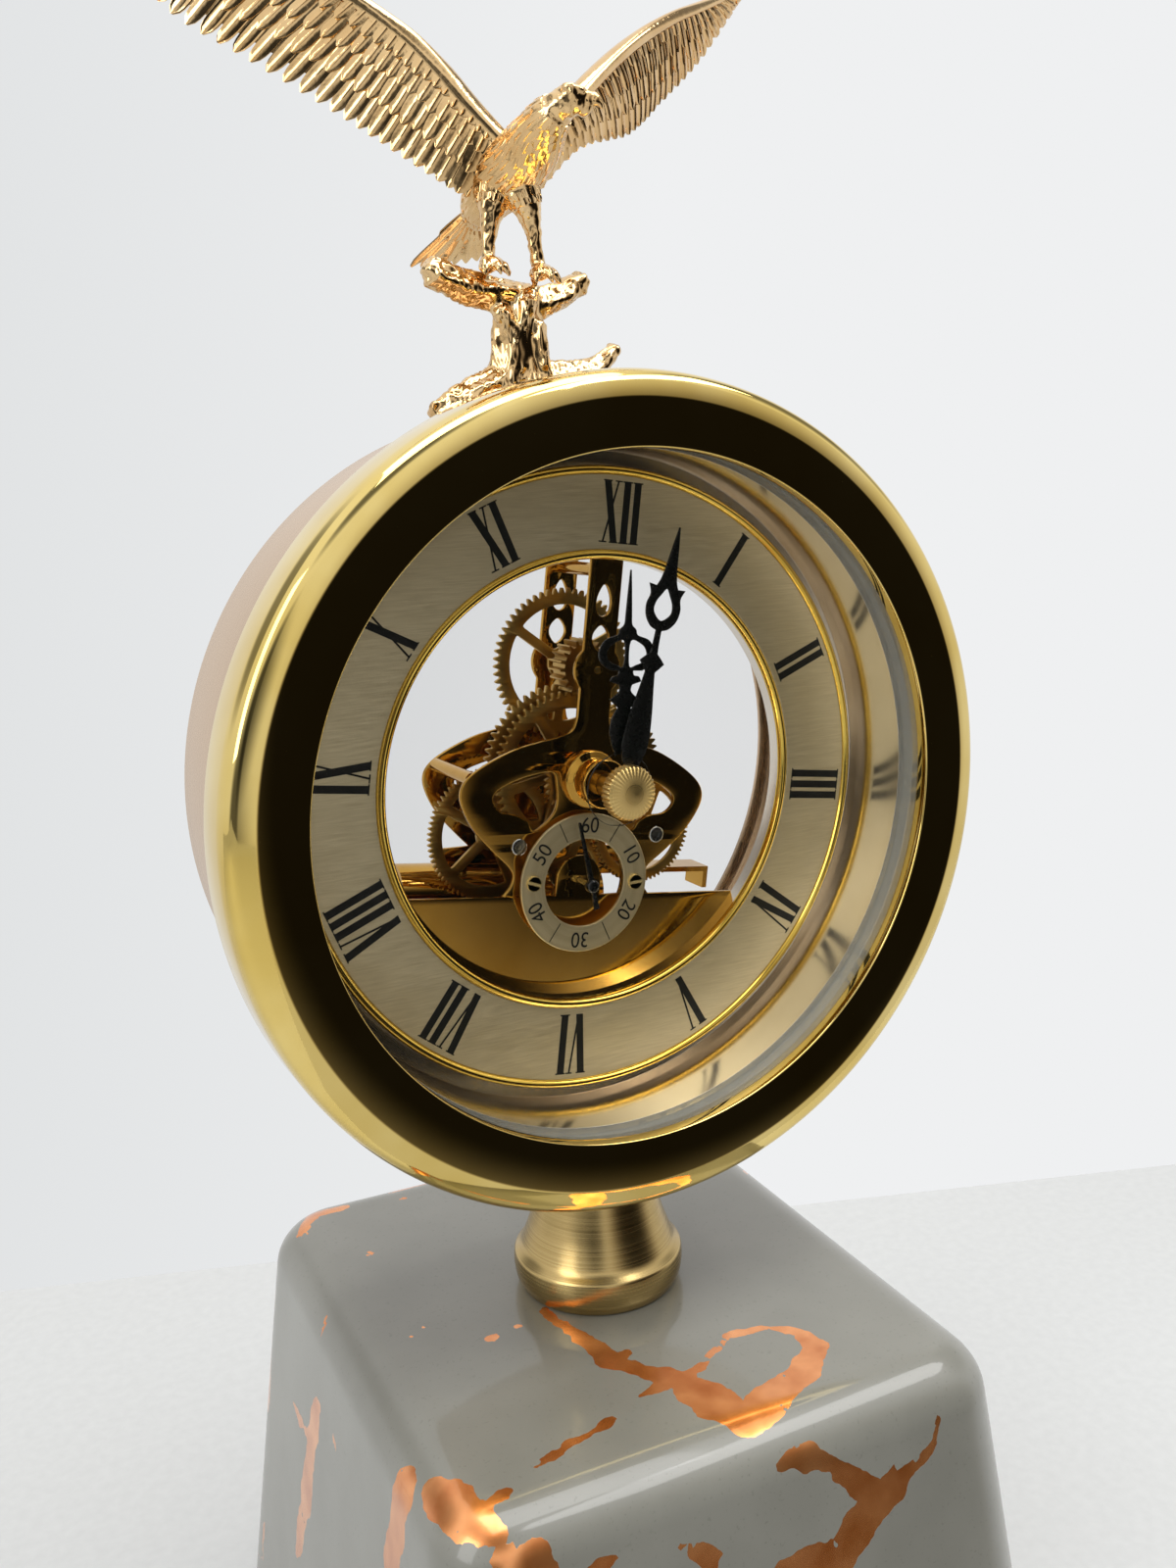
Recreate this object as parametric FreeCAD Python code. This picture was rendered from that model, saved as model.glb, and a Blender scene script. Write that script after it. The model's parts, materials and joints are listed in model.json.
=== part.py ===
import FreeCAD, Part
import math
import os

V = FreeCAD.Vector

# Table clock: round see-through case on a turned foot and a ceramic block, eagle on top.
# Row frame: origin at the centre of the underside, X to the viewer's right, Y to the back, Z up.
# The case is drawn in its own frame: hand axis along Y, Y = 0 at the bezel's front face.

# Placement of the case
base_height = 130.0
case_lift = 135.0            # base top to hand axis
case_setback = 36.3          # bezel face to pedestal axis
insert_turn = 8.0            # degrees, the insert sits turned in its case
fit_gap = 0.02               # radial gap of pressed and glued fits
run_gap = 0.06               # radial gap of running fits
overrun = 1.0                # how far a cutter passes its face

# Ceramic base
base_top_half_x = 70.0
base_top_half_y = 79.0
base_flare = 13.0            # growth of each half side from top to foot
base_corner = 16.0          # upright corners
base_edge = 11.0            # round the top
corner_steps = 5
edge_steps = 4
base_wall = 6.0
base_crown = 9.0
base_twist = -2.5            # degrees, base turned under the case
base_hole = 5.2
pad_thickness = 2.0
pad_inset = 3.0

# Pedestal and clamp
foot_radius = 22.3
foot_band = 7.7
foot_cone_radius = 20.0
foot_cone_start = 11.0
foot_waist_radius = 15.0
foot_waist_height = 30.0
foot_saddle_radius = 17.5
stud_radius = 4.0
stud_head_radius = 7.5
stud_head_height = 3.0
washer_radius = 16.0
washer_thickness = 2.0
nut_across = 13.0
nut_height = 6.5

# Case
bezel_radius = 100.0
bezel_face_outer = 93.2
bezel_face_inner = 81.8
bezel_chamfer = 3.6
bezel_depth = 18.0
bezel_lip = 3.5
bezel_rebate = 84.0
drum_radius = 92.5
drum_wall = 2.5
drum_depth = 70.0
drum_spigot = 5.0
glass_thickness = 2.5
gasket_depth = 5.5
gasket_wall = 1.8
liner_radius = 82.2
liner_wall = 1.5
liner_seat_depth = 32.5
liner_seat_inner = 76.8
liner_seat_thickness = 2.0
rear_ring_inner = 77.0
rear_ring_thickness = 3.0
rear_glass_radius = 79.0
rear_glass_thickness = 2.0

# Dial
dial_depth = 28.0
dial_thickness = 1.0
dial_inner = 57.8
dial_outer = 76.2
inner_bead_radius = 55.4
outer_bead_radius = 78.4
bead_height = 1.0
carrier_thickness = 3.5
carrier_skirt_radius = 75.0
carrier_skirt_wall = 1.2
carrier_skirt_depth = 12.0

# Movement plates
plate_thickness = 1.2
rear_plate_depth = 57.0
strut_half = 4.6
strut_top = 62.0
lobe_half = 34.6
plate_hang_radius = 62.0
shelf_level = -30.0
second_y = -26.0
second_window = 12.4
tab_half = 6.3
boss_radius = 6.6
pillar_radius = 1.75
pillar_x = 31.3
pillar_y = -1.0
top_pillar_y = 52.5
spacer_radius = 2.2

# Wheels: tooth counts, and the places of the arbors in the dial's plane
second_pinion_teeth = 10
third_wheel_teeth = 75
third_pinion_teeth = 8
great_wheel_teeth = 64
centre_wheel_teeth = 60
upper_pinion_teeth = 20
upper_wheel_teeth = 60
second_wheel_teeth = 50
drive_wheel_teeth = 68
cannon_teeth = 12
minute_wheel_teeth = 36
minute_pinion_teeth = 10
hour_wheel_teeth = 40
third_x = -17.6
third_y = -17.5
drive_x = 21.5
drive_y = -14.5
upper_y = 27.4
upper_wheel_radius = 19.3
minute_post_x = 12.0
minute_post_y = 5.5
wheel_thickness = 1.2
addendum_share = 0.78
dedendum_share = 1.12
mesh_slack = 0.10            # added centre distance, spread over both wheels
arbor_radius = 1.0
pivot_radius = 0.7
centre_arbor_radius = 1.5
hub_radius = 3.0

# Depths of the wheels behind the bezel face
hour_wheel_depth = 34.7
minute_wheel_depth = 37.2
drive_wheel_depth = 40.0
centre_wheel_depth = 43.2
great_wheel_depth = 47.0
third_wheel_depth = 49.0
upper_wheel_depth = 52.0
upper_pinion_front = 39.0
upper_pinion_back = 46.0
pipe_radius = 2.7
bush_bore = 2.8
bush_front = 23.0
bush_radius = 6.2
bush_neck = 5.4
bush_shoulder = 7.4
bush_flange = 2.0
bush_foot = 2.5

# Hands
hand_thickness = 0.6
hour_hand_depth = 15.6
minute_hand_depth = 13.2
second_hand_depth = 25.0
hour_hand_length = 53.3
minute_hand_length = 65.0
second_hand_length = 16.9
second_tail_length = 6.2
hour_hand_angle = -2.7
minute_hand_angle = 7.6
second_hand_angle = -17.9
hour_hub_radius = 9.0
minute_hub_radius = 6.0
nut_radius = 6.4
nut_face_depth = 9.0
nut_cone = 0.9
nut_back_depth = 13.2
knurl_count = 24
knurl_depth = 0.35

# Seconds ring
second_ring_outer = 17.7
second_ring_inner = 11.2
second_ring_depth = 29.2
second_ring_thickness = 0.8
ring_screw_x = 14.4
ring_screw_radius = 1.9
ring_screw_head = 0.7
ring_post_radius = 1.6
bearing_radius = 2.1
bearing_height = 0.3

# Battery and drive
battery_radius = 7.25
battery_length = 50.5
battery_x = -11.0
battery_y = -35.1
battery_depth = 58.7
battery_slack = 0.1
housing_wall = 0.6
housing_end = 2.0
contact_gap = 1.6
nipple_radius = 2.75
spring_radius = 3.6
bracket_width = 34.0
bracket_depth = 9.0
bracket_thickness = 1.4
housing_foot_left = -36.0
housing_foot_right = -14.0
housing_foot_level = -40.2
module_half_width = 14.0
module_top = -37.6
module_height = 11.0
module_depth = 12.0
module_corner = 1.5
coil_level = -53.7
coil_radius = 2.6
coil_length = 14.0
board_top = -49.6
board_bottom = -58.0
board_thickness = 1.0
knob_radius = 8.0
knob_depth = 61.0
knob_height = 4.0

# Eagle and stump: tables of points from the perch, x to the right, y back, z up, and a radius
perch_x = -8.0
perch_setback = 41.0         # bezel face to the middle of the stump
stump_lift = 126.0           # hand axis to the branch under the feet
trunk_run = [(-2.7, 0.0, -37.0, 12.0), (-4.5, 0.0, -24.0, 7.0), (-4.0, 0.0, -15.0, 6.4), (-1.0, 0.0, -6.0, 7.2)]
left_branch_run = [(2.0, 0.0, -7.0, 5.0), (-9.0, -1.0, -5.6, 4.6), (-18.0, -2.0, -4.0, 4.2), (-27.0, -3.0, -1.0, 4.0)]
right_branch_run = [(0.0, 0.0, -9.0, 4.6), (9.0, 0.0, -5.8, 4.0), (17.0, 0.0, -0.8, 2.6)]
left_root_run = [(-4.0, 0.0, -25.0, 6.0), (-15.0, -1.0, -29.5, 5.0), (-28.0, -2.0, -35.0, 3.4)]
right_root_run = [(-3.0, 0.0, -26.0, 5.5), (9.0, 0.0, -24.5, 4.0), (19.5, 0.0, -22.6, 3.0), (25.6, 0.0, -17.2, 2.2)]
torso_run = [(-7.5, 12.0, 12.5, 3.6), (-7.0, 6.0, 17.0, 7.4), (-4.8, -3.0, 21.5, 9.6), (-1.8, -11.0, 26.5, 9.0),
             (-1.8, -19.0, 31.0, 6.2), (-1.0, -25.0, 33.4, 4.4)]
skull_run = [(-1.2, -22.2, 32.6, 3.2), (-0.9, -26.0, 34.0, 4.3), (-0.5, -29.2, 34.2, 2.6)]
beak_run = [(0.2, -28.5, 33.9, 2.2), (1.7, -30.6, 34.0, 1.5), (2.9, -31.8, 32.2, 0.4)]
left_leg_run = [(-8.4, -2.6, 19.0, 5.0), (-10.6, -3.0, 8.5, 2.7), (-11.5, -3.0, -1.5, 2.4)]
right_leg_run = [(-3.6, -6.6, 17.5, 5.0), (-1.0, -7.0, 7.4, 2.7), (0.2, -7.0, -3.0, 2.4)]
tail_front_edge = [(-4.5, 10.0, 15.5), (0.0, 27.0, 5.2)]
tail_back_edge = [(-9.0, 12.0, 17.5), (-20.2, 31.0, 3.0)]
left_lead = [(-4.0, -5.0, 29.0), (-12.0, -1.0, 38.5), (-21.7, 3.9, 51.6), (-33.5, 9.9, 61.9), (-52.0, 19.0, 75.0),
             (-72.0, 29.0, 87.5), (-90.5, 38.5, 96.0)]
left_trail = [(-8.0, 2.0, 14.5), (-17.0, 2.0, 18.0), (-29.0, 7.8, 27.0), (-42.0, 14.5, 37.0), (-59.6, 23.2, 49.5),
              (-76.2, 31.7, 62.0), (-88.0, 37.2, 82.0)]
right_lead = [(2.0, -6.0, 30.0), (14.8, -0.1, 43.4), (36.8, 11.1, 60.5), (56.0, 21.0, 71.5), (73.5, 29.8, 79.4),
              (93.0, 39.0, 88.5)]
right_trail = [(2.0, 0.0, 16.5), (16.0, 0.5, 29.5), (35.7, 10.6, 36.5), (50.0, 18.0, 47.0), (70.0, 28.5, 63.0),
               (89.0, 37.5, 83.0)]
wing_root_half = 2.2
wing_tip_half = 0.7
wing_bow = (1.2, -2.4, -0.6)  # how far the middle of each section bows out
perch_screw_pitch = 11.0
perch_screw_radius = 1.8
screw_rise = 11.0

# Worked out from the sizes above
base_ceiling = base_height - base_crown
axis_height = base_height + case_lift
glass_depth = bezel_lip
gasket_start = glass_depth + glass_thickness
liner_start = gasket_start + gasket_depth
drum_start = bezel_depth - drum_spigot
carrier_depth = dial_depth + dial_thickness
plate_depth = carrier_depth + carrier_thickness
plate_back = plate_depth + plate_thickness


def arbor_distance(x0, y0, x1, y1):
    return math.hypot(x1 - x0, y1 - y0)


def mesh_module(distance, teeth_a, teeth_b):
    return 2 * distance / (teeth_a + teeth_b)


second_third_module = mesh_module(arbor_distance(0, second_y, third_x, third_y),
                                  second_pinion_teeth, third_wheel_teeth)
third_great_module = mesh_module(arbor_distance(third_x, third_y, 0, 0),
                                 third_pinion_teeth, great_wheel_teeth)
centre_upper_module = mesh_module(upper_y, centre_wheel_teeth, upper_pinion_teeth)
second_drive_module = mesh_module(arbor_distance(0, second_y, drive_x, drive_y),
                                  second_wheel_teeth, drive_wheel_teeth)
cannon_module = mesh_module(arbor_distance(minute_post_x, minute_post_y, 0, 0),
                            cannon_teeth, minute_wheel_teeth)
hour_module = mesh_module(arbor_distance(minute_post_x, minute_post_y, 0, 0),
                          minute_pinion_teeth, hour_wheel_teeth)
upper_module = 2 * upper_wheel_radius / upper_wheel_teeth


# Shared builders, in the case's frame: Y runs back from the bezel face
def flat(x, z, y=0.0):
    return V(x, y, z)


def disc(radius, y0, y1, x=0.0, z=0.0):
    return Part.makeCylinder(radius, y1 - y0, V(x, y0, z), V(0, 1, 0))


def tube(inner, outer, y0, y1, x=0.0, z=0.0):
    return disc(outer, y0, y1, x, z).cut(disc(inner, y0 - overrun, y1 + overrun, x, z))


def box(x0, x1, y0, y1, z0, z1):
    return Part.makeBox(x1 - x0, y1 - y0, z1 - z0, V(x0, y0, z0))


def turned(profile, x=0.0, z=0.0):
    """Revolve (radius, depth) points about the line through x, z along Y."""
    points = [V(x + r, y, z) for r, y in profile]
    face = Part.Face(Part.makePolygon(points + points[:1]))
    return face.revolve(V(x, 0, z), V(0, 1, 0), 360)


def upright(profile):
    """Revolve (radius, height) points about the Z axis."""
    points = [V(r, 0, h) for r, h in profile]
    face = Part.Face(Part.makePolygon(points + points[:1]))
    return face.revolve(V(0, 0, 0), V(0, 0, 1), 360)


def sheet(points, y0, thickness):
    """Plate with a straight-sided outline in the dial's plane."""
    corners = [V(x, y0, z) for x, z in points]
    return Part.Face(Part.makePolygon(corners + corners[:1])).extrude(V(0, thickness, 0))


def polar_point(radius, angle):
    return radius * math.cos(angle), radius * math.sin(angle)


def pitch_radius(teeth, module):
    return module * teeth / 2


# Toothed wheels
tip_half_share = 0.105       # half width of a tooth's tip, of the pitch
root_half_share = 0.25
wheel_dedendum_share = 1.75
most_pinion_teeth = 20


def toothed_outline(teeth, module, towards, gap):
    """Corners of a toothed rim: V gaps on a wheel, flat-bottomed ones on a pinion."""
    pitch = pitch_radius(teeth, module)
    tip = pitch + addendum_share * module - mesh_slack / 2
    step = 2 * math.pi / teeth
    start = towards + (step / 2 if gap else 0)
    wheel = teeth > most_pinion_teeth
    root = pitch - (wheel_dedendum_share if wheel else dedendum_share) * module - mesh_slack / 2
    corners = []
    for tooth in range(teeth):
        middle = start + tooth * step
        if wheel:
            corners.append(polar_point(root, middle - step / 2))
        else:
            corners.append(polar_point(root, middle - root_half_share * step))
        corners.append(polar_point(tip, middle - tip_half_share * step))
        corners.append(polar_point(tip, middle + tip_half_share * step))
        if not wheel:
            corners.append(polar_point(root, middle + root_half_share * step))
    return corners


def toothed(teeth, module, y0, thickness, x, z, towards, gap):
    corners = toothed_outline(teeth, module, towards, gap)
    return sheet([(x + a, z + b) for a, b in corners], y0, thickness)


def spoke_window(x, z, rim, hub, start, end):
    """Window between two spokes, a run of short chords at the rim and one at the hub."""
    corners = []
    for i in range(window_chords + 1):
        angle = start + (end - start) * i / window_chords
        trim = math.asin(spoke_half_width / rim) * (1 - 2 * i / window_chords)
        corners.append(polar_point(rim, angle + trim))
    trim = math.asin(spoke_half_width / hub)
    corners.append(polar_point(hub, end - trim))
    corners.append(polar_point(hub, start + trim))
    return [(x + a, z + b) for a, b in corners]


def spoked_wheel(teeth, module, y0, x, z, towards, gap, spokes, bore, thickness=wheel_thickness):
    """Toothed rim, spokes and hub in one piece, as punched from sheet."""
    wheel = toothed(teeth, module, y0, thickness, x, z, towards, gap)
    rim = pitch_radius(teeth, module) * rim_share
    step = 2 * math.pi / spokes
    for spoke in range(spokes):
        start = towards + step * (spoke - 0.5)
        window = spoke_window(x, z, rim, hub_radius + spoke_half_width, start, start + step)
        wheel = wheel.cut(sheet(window, y0 - overrun, thickness + 2 * overrun))
    return wheel.cut(disc(bore, y0 - overrun, y0 + thickness + overrun, x, z))


window_chords = 5
rim_share = 0.82
spoke_half_width = 1.1


def direction(x0, z0, x1, z1):
    return math.atan2(z1 - z0, x1 - x0)


to_third = direction(0, second_y, third_x, third_y)
to_second = direction(third_x, third_y, 0, second_y)
third_to_centre = direction(third_x, third_y, 0, 0)
centre_to_third = direction(0, 0, third_x, third_y)
second_to_drive = direction(0, second_y, drive_x, drive_y)
drive_to_second = direction(drive_x, drive_y, 0, second_y)
centre_to_post = direction(0, 0, minute_post_x, minute_post_y)
post_to_centre = direction(minute_post_x, minute_post_y, 0, 0)
up = math.pi / 2
down = -math.pi / 2

parts = {}


def seat_case(shape):
    shape.translate(V(0, -case_setback, axis_height))
    return shape


def seat_insert(shape):
    shape.rotate(V(0, 0, 0), V(0, 1, 0), insert_turn)
    return seat_case(shape)


def keep(name, shape):
    parts[name] = shape


def keep_case(name, shape):
    keep(name, seat_case(shape))


def keep_insert(name, shape):
    keep(name, seat_insert(shape))


# Ceramic base: tapered block with rounded corners and edges, hollow from below
def corner_ring(half_x, half_y, radius, height):
    """Points of a level rounded rectangle."""
    ring = []
    for quarter, (side_x, side_y) in enumerate(((1, 1), (-1, 1), (-1, -1), (1, -1))):
        for step in range(corner_steps + 1):
            angle = (quarter + step / corner_steps) * math.pi / 2
            ring.append(V(side_x * (half_x - radius) + radius * math.cos(angle),
                          side_y * (half_y - radius) + radius * math.sin(angle), height))
    return ring


def stacked(rings):
    """Solid through level rings with matching points."""
    faces = [Part.Face(Part.makePolygon(ring + ring[:1])) for ring in (rings[0], rings[-1])]
    for low, high in zip(rings, rings[1:]):
        for i in range(len(low)):
            j = (i + 1) % len(low)
            side = [low[i], low[j], high[j], high[i]]
            faces.append(Part.Face(Part.makePolygon(side + side[:1])))
    return upright_solid(faces)


def upright_solid(faces):
    solid = Part.Solid(Part.Shell(faces))
    if solid.Volume < 0:
        solid.reverse()
    return solid


def base_ring(inset, height, level=None):
    """Outline of the block, drawn in by inset, at one height."""
    level = height if level is None else level
    grow = base_flare * (base_height - level) / base_height
    return corner_ring(base_top_half_x + grow - inset, base_top_half_y + grow - inset,
                       base_corner - inset, height)


def ceramic_base():
    rings = [base_ring(0, pad_thickness)]
    for step in range(edge_steps + 1):
        turn = step / edge_steps * math.pi / 2
        height = base_height - base_edge * (1 - math.sin(turn))
        rings.append(base_ring(base_edge * (1 - math.cos(turn)), height))
    inner = stacked([base_ring(base_wall, pad_thickness - overrun), base_ring(base_wall, base_ceiling)])
    shell = stacked(rings).cut(inner)
    bolt_hole = Part.makeCylinder(base_hole, base_height, V(0, 0, base_height / 2))
    shell = shell.cut(bolt_hole)
    shell.rotate(V(0, 0, 0), V(0, 0, 1), base_twist)
    return shell


def base_pad():
    ring = base_ring(pad_inset, 0)
    pad = Part.Face(Part.makePolygon(ring + ring[:1])).extrude(V(0, 0, pad_thickness))
    pad.rotate(V(0, 0, 0), V(0, 0, 1), base_twist)
    return pad


keep("ceramic_base", ceramic_base())
keep("base_pad", base_pad())

# Turned pedestal, hollowed for the stud, with a saddle that fits the drum
drum_seat = case_lift - drum_radius


def pedestal():
    top = drum_seat + foot_saddle_radius ** 2 / drum_radius
    body = upright([(0, 0), (foot_radius, 0), (foot_radius, foot_band),
                    (foot_cone_radius, foot_cone_start), (foot_waist_radius, foot_waist_height),
                    (foot_saddle_radius, top), (0, top)])
    body.translate(V(0, 0, base_height))
    drum = Part.makeCylinder(drum_radius + fit_gap, 2 * drum_depth, V(0, -drum_depth, axis_height), V(0, 1, 0))
    bore = Part.makeCylinder(stud_radius + run_gap, case_lift, V(0, 0, base_height - overrun))
    return body.cut(drum).cut(bore)


keep("pedestal", pedestal())

stud_end = base_ceiling - washer_thickness - nut_height - 2 * overrun
stud_top = axis_height - math.sqrt((drum_radius - drum_wall) ** 2 - stud_head_radius ** 2)


def pedestal_stud():
    shank = Part.makeCylinder(stud_radius, stud_top - stud_end, V(0, 0, stud_end))
    head = Part.makeCylinder(stud_head_radius, stud_head_height, V(0, 0, stud_top))
    return shank.fuse(head)


def pedestal_washer():
    plate = Part.makeCylinder(washer_radius, washer_thickness, V(0, 0, base_ceiling - washer_thickness))
    hole = Part.makeCylinder(stud_radius + run_gap, case_lift, V(0, 0, base_ceiling - case_lift / 2))
    return plate.cut(hole)


def hexagon(across, height, z0):
    circle = across / math.sqrt(3)
    corners = [V(circle * math.cos(i * math.pi / 3), circle * math.sin(i * math.pi / 3), z0) for i in range(6)]
    return Part.Face(Part.makePolygon(corners + corners[:1])).extrude(V(0, 0, height))


def pedestal_nut():
    z0 = base_ceiling - washer_thickness - nut_height
    hole = Part.makeCylinder(stud_radius + fit_gap, case_lift, V(0, 0, z0 - case_lift / 2))
    return hexagon(nut_across, nut_height, z0).cut(hole)


keep("pedestal_stud", pedestal_stud())
keep("pedestal_washer", pedestal_washer())
keep("pedestal_nut", pedestal_nut())

# Case: bezel, glass, gasket, liner with the insert's seat, drum, rear cover
keep_case("front_bezel", turned([
    (bezel_face_inner, 0), (bezel_face_outer, 0), (bezel_radius, bezel_chamfer),
    (bezel_radius, bezel_depth), (drum_radius + fit_gap, bezel_depth),
    (drum_radius + fit_gap, drum_start), (bezel_rebate, drum_start),
    (bezel_rebate, bezel_lip), (bezel_face_inner, bezel_lip)]))
keep_case("front_glass", disc(bezel_rebate - fit_gap, glass_depth, gasket_start))
keep_case("glass_gasket", tube(bezel_rebate - fit_gap - gasket_wall, bezel_rebate - fit_gap,
                               gasket_start, liner_start))
liner_outer = liner_radius + liner_wall
liner_end = drum_depth - rear_ring_thickness - fit_gap


def case_liner():
    return turned([
        (liner_radius, liner_start), (liner_outer, liner_start), (liner_outer, liner_end),
        (liner_radius, liner_end), (liner_radius, liner_seat_depth + liner_seat_thickness),
        (liner_seat_inner, liner_seat_depth + liner_seat_thickness),
        (liner_seat_inner, liner_seat_depth), (liner_radius, liner_seat_depth)])


drum_inner = drum_radius - drum_wall


def case_drum():
    """Spun shell with an inward front flange that takes the liner, and the stud and screw holes."""
    shell = turned([
        (liner_outer + fit_gap, drum_start), (drum_radius, drum_start), (drum_radius, drum_depth),
        (drum_inner, drum_depth), (drum_inner, drum_start + drum_wall),
        (liner_outer + fit_gap, drum_start + drum_wall)])
    hole = Part.makeCylinder(stud_radius + run_gap, bezel_radius, V(0, case_setback, -bezel_radius))
    shell = shell.cut(hole)
    for side in (-1, 1):
        shell = shell.cut(perch_screw_shank(side, run_gap))
    return shell


def perch_screw_shank(side, extra):
    """Screw that rises through the drum's top into the stump."""
    x = perch_x + side * perch_screw_pitch / 2
    return Part.makeCylinder(perch_screw_radius + extra, screw_rise, V(x, perch_setback, screw_seat(x)))


def screw_seat(x):
    """Height of the drum's inner wall beside a screw head, where the head's edge meets it."""
    return math.sqrt(drum_inner ** 2 - (abs(x) + 2 * perch_screw_radius) ** 2)


keep_case("case_liner", case_liner())
keep_case("case_drum", case_drum())

rear_ring_outer = drum_inner - run_gap


def rear_cover():
    """Push-in ring, flush with the drum's end, with a rebate for the glass."""
    rebate = drum_depth - rear_ring_thickness + run_gap
    return turned([
        (rear_ring_inner, drum_depth), (rear_ring_outer, drum_depth), (rear_ring_outer, rebate),
        (rear_glass_radius, rebate), (rear_glass_radius, drum_depth - rear_lip),
        (rear_ring_inner, drum_depth - rear_lip)])


rear_lip = 1.0
keep_case("rear_cover", rear_cover())
keep_case("rear_glass", disc(rear_glass_radius - fit_gap, drum_depth - rear_lip - rear_glass_thickness + run_gap,
                             drum_depth - rear_lip))

# Dial, its two beads and the carrier behind them
keep_insert("dial_ring", tube(dial_inner, dial_outer, dial_depth, carrier_depth))


def bead(inner, outer):
    """Ring with a turned ridge."""
    crest = dial_depth - bead_height
    return turned([(inner, dial_depth), ((inner + outer) / 2, crest), (outer, dial_depth),
                   (outer, carrier_depth), (inner, carrier_depth)])


keep_insert("inner_bead", bead(inner_bead_radius, dial_inner - fit_gap))
keep_insert("outer_bead", bead(dial_outer + fit_gap, outer_bead_radius))


def dial_carrier():
    ring = turned([
        (inner_bead_radius, carrier_depth), (outer_bead_radius, carrier_depth),
        (outer_bead_radius, plate_depth), (carrier_skirt_radius, plate_depth),
        (carrier_skirt_radius, plate_depth + carrier_skirt_depth),
        (carrier_skirt_radius - carrier_skirt_wall, plate_depth + carrier_skirt_depth),
        (carrier_skirt_radius - carrier_skirt_wall, plate_depth), (inner_bead_radius, plate_depth)])
    return ring


keep_insert("dial_carrier", dial_carrier())

# Movement plates: strut, boss, two lobes with windows, crescent or foot
# Points of the right half of a lobe, as shares of its half span
lobe_upper_shares = [(0.133, 0.44), (0.165, 0.345), (0.27, 0.295), (0.42, 0.255), (0.61, 0.195),
                     (0.82, 0.085), (0.955, -0.02), (1.0, -0.125), (0.965, -0.245), (0.86, -0.40),
                     (0.70, -0.55), (0.585, -0.645), (0.535, -0.72), (0.55, -0.80), (0.60, -0.90)]
window_shares = [(0.29, 0.035), (0.45, 0.015), (0.62, -0.045), (0.73, -0.115), (0.74, -0.185),
                 (0.67, -0.255), (0.55, -0.275), (0.46, -0.32), (0.40, -0.39), (0.28, -0.30), (0.235, -0.20),
                 (0.25, -0.06)]
teardrop_shares = [(0.0, 1.42), (0.055, 1.32), (0.048, 1.22), (0.0, 1.185), (-0.048, 1.22), (-0.055, 1.32)]
strut_window_shares = [(0.0, 1.12), (0.06, 1.06), (0.06, 0.99), (0.0, 0.93), (-0.06, 0.99), (-0.06, 1.06)]


def shares_of(size, shares, mirror=1):
    return [(mirror * size * a, size * b) for a, b in shares]


def lobe_half_shape(y0, mirror):
    """One side of the lobed plate, from the strut's side down to the shelf."""
    edge = shares_of(lobe_half, lobe_upper_shares, mirror)
    top = (0, edge[0][1])
    bottom = (0, edge[-1][1])
    return sheet([top] + edge + [bottom], y0, plate_thickness)


def plate_windows(y0):
    y1 = y0 - overrun
    depth = plate_thickness + 2 * overrun
    cutters = []
    for mirror in (-1, 1):
        cutters.append(sheet(shares_of(lobe_half, window_shares, mirror), y1, depth))
    cutters.append(sheet(shares_of(lobe_half, teardrop_shares), y1, depth))
    cutters.append(sheet(shares_of(lobe_half, strut_window_shares), y1, depth))
    return cutters


def lobed_plate(y0):
    strut = box(-strut_half, strut_half, y0, y0 + plate_thickness, 0, strut_top)
    boss = disc(boss_radius, y0, y0 + plate_thickness, 0, upper_y)
    plate = strut.fuse([boss, lobe_half_shape(y0, -1), lobe_half_shape(y0, 1)])
    for cutter in plate_windows(y0):
        plate = plate.cut(cutter)
    return plate


def crescent(y0):
    """Part of the plate below the shelf line, reaching behind the carrier."""
    whole = disc(plate_hang_radius, y0, y0 + plate_thickness)
    above = box(-bezel_radius, bezel_radius, y0 - overrun, y0 + plate_thickness + overrun, shelf_level, bezel_radius)
    return whole.cut(above)


def second_tab(y0):
    """Round-topped tab that carries the seconds arbor."""
    head = disc(tab_half, y0, y0 + plate_thickness, 0, second_y)
    stem = box(-tab_half, tab_half, y0, y0 + plate_thickness, shelf_level - overrun, second_y)
    return head.fuse(stem)


def arbor_holes(y0):
    holes = [(third_x, third_y), (drive_x, drive_y), (0, upper_y), (0, second_y)]
    return [disc(pivot_radius + run_gap, y0 - overrun, y0 + plate_thickness + overrun, x, z) for x, z in holes]


def front_plate():
    y0 = plate_depth
    window = disc(second_window, y0 - overrun, y0 + plate_thickness + overrun, 0, second_y)
    plate = lobed_plate(y0).cut(window).fuse([crescent(y0), second_tab(y0)])
    centre = disc(bush_bore, y0 - overrun, y0 + plate_thickness + overrun)
    post = disc(pivot_radius, y0 - overrun, y0 + plate_thickness + overrun, minute_post_x, minute_post_y)
    for cutter in [centre, post] + arbor_holes(y0):
        plate = plate.cut(cutter)
    return plate.removeSplitter()


rear_foot_half = 28.0


def rear_plate():
    y0 = rear_plate_depth
    foot = box(-rear_foot_half, rear_foot_half, y0, y0 + plate_thickness, rear_foot_level, rear_foot_top)
    plate = lobed_plate(y0).fuse(foot)
    below = box(-bezel_radius, bezel_radius, y0 - overrun, y0 + plate_thickness + overrun,
                -bezel_radius, rear_foot_level)
    plate = plate.cut(below)
    centre = disc(centre_arbor_radius + run_gap, y0 - overrun, y0 + plate_thickness + overrun)
    for cutter in [centre] + arbor_holes(y0):
        plate = plate.cut(cutter)
    return plate.removeSplitter()


housing_radius = battery_radius + battery_slack + housing_wall
rear_foot_level = battery_y + housing_radius
rear_foot_top = second_y + hub_radius
keep_insert("front_plate", front_plate())
keep_insert("rear_plate", rear_plate())


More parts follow.
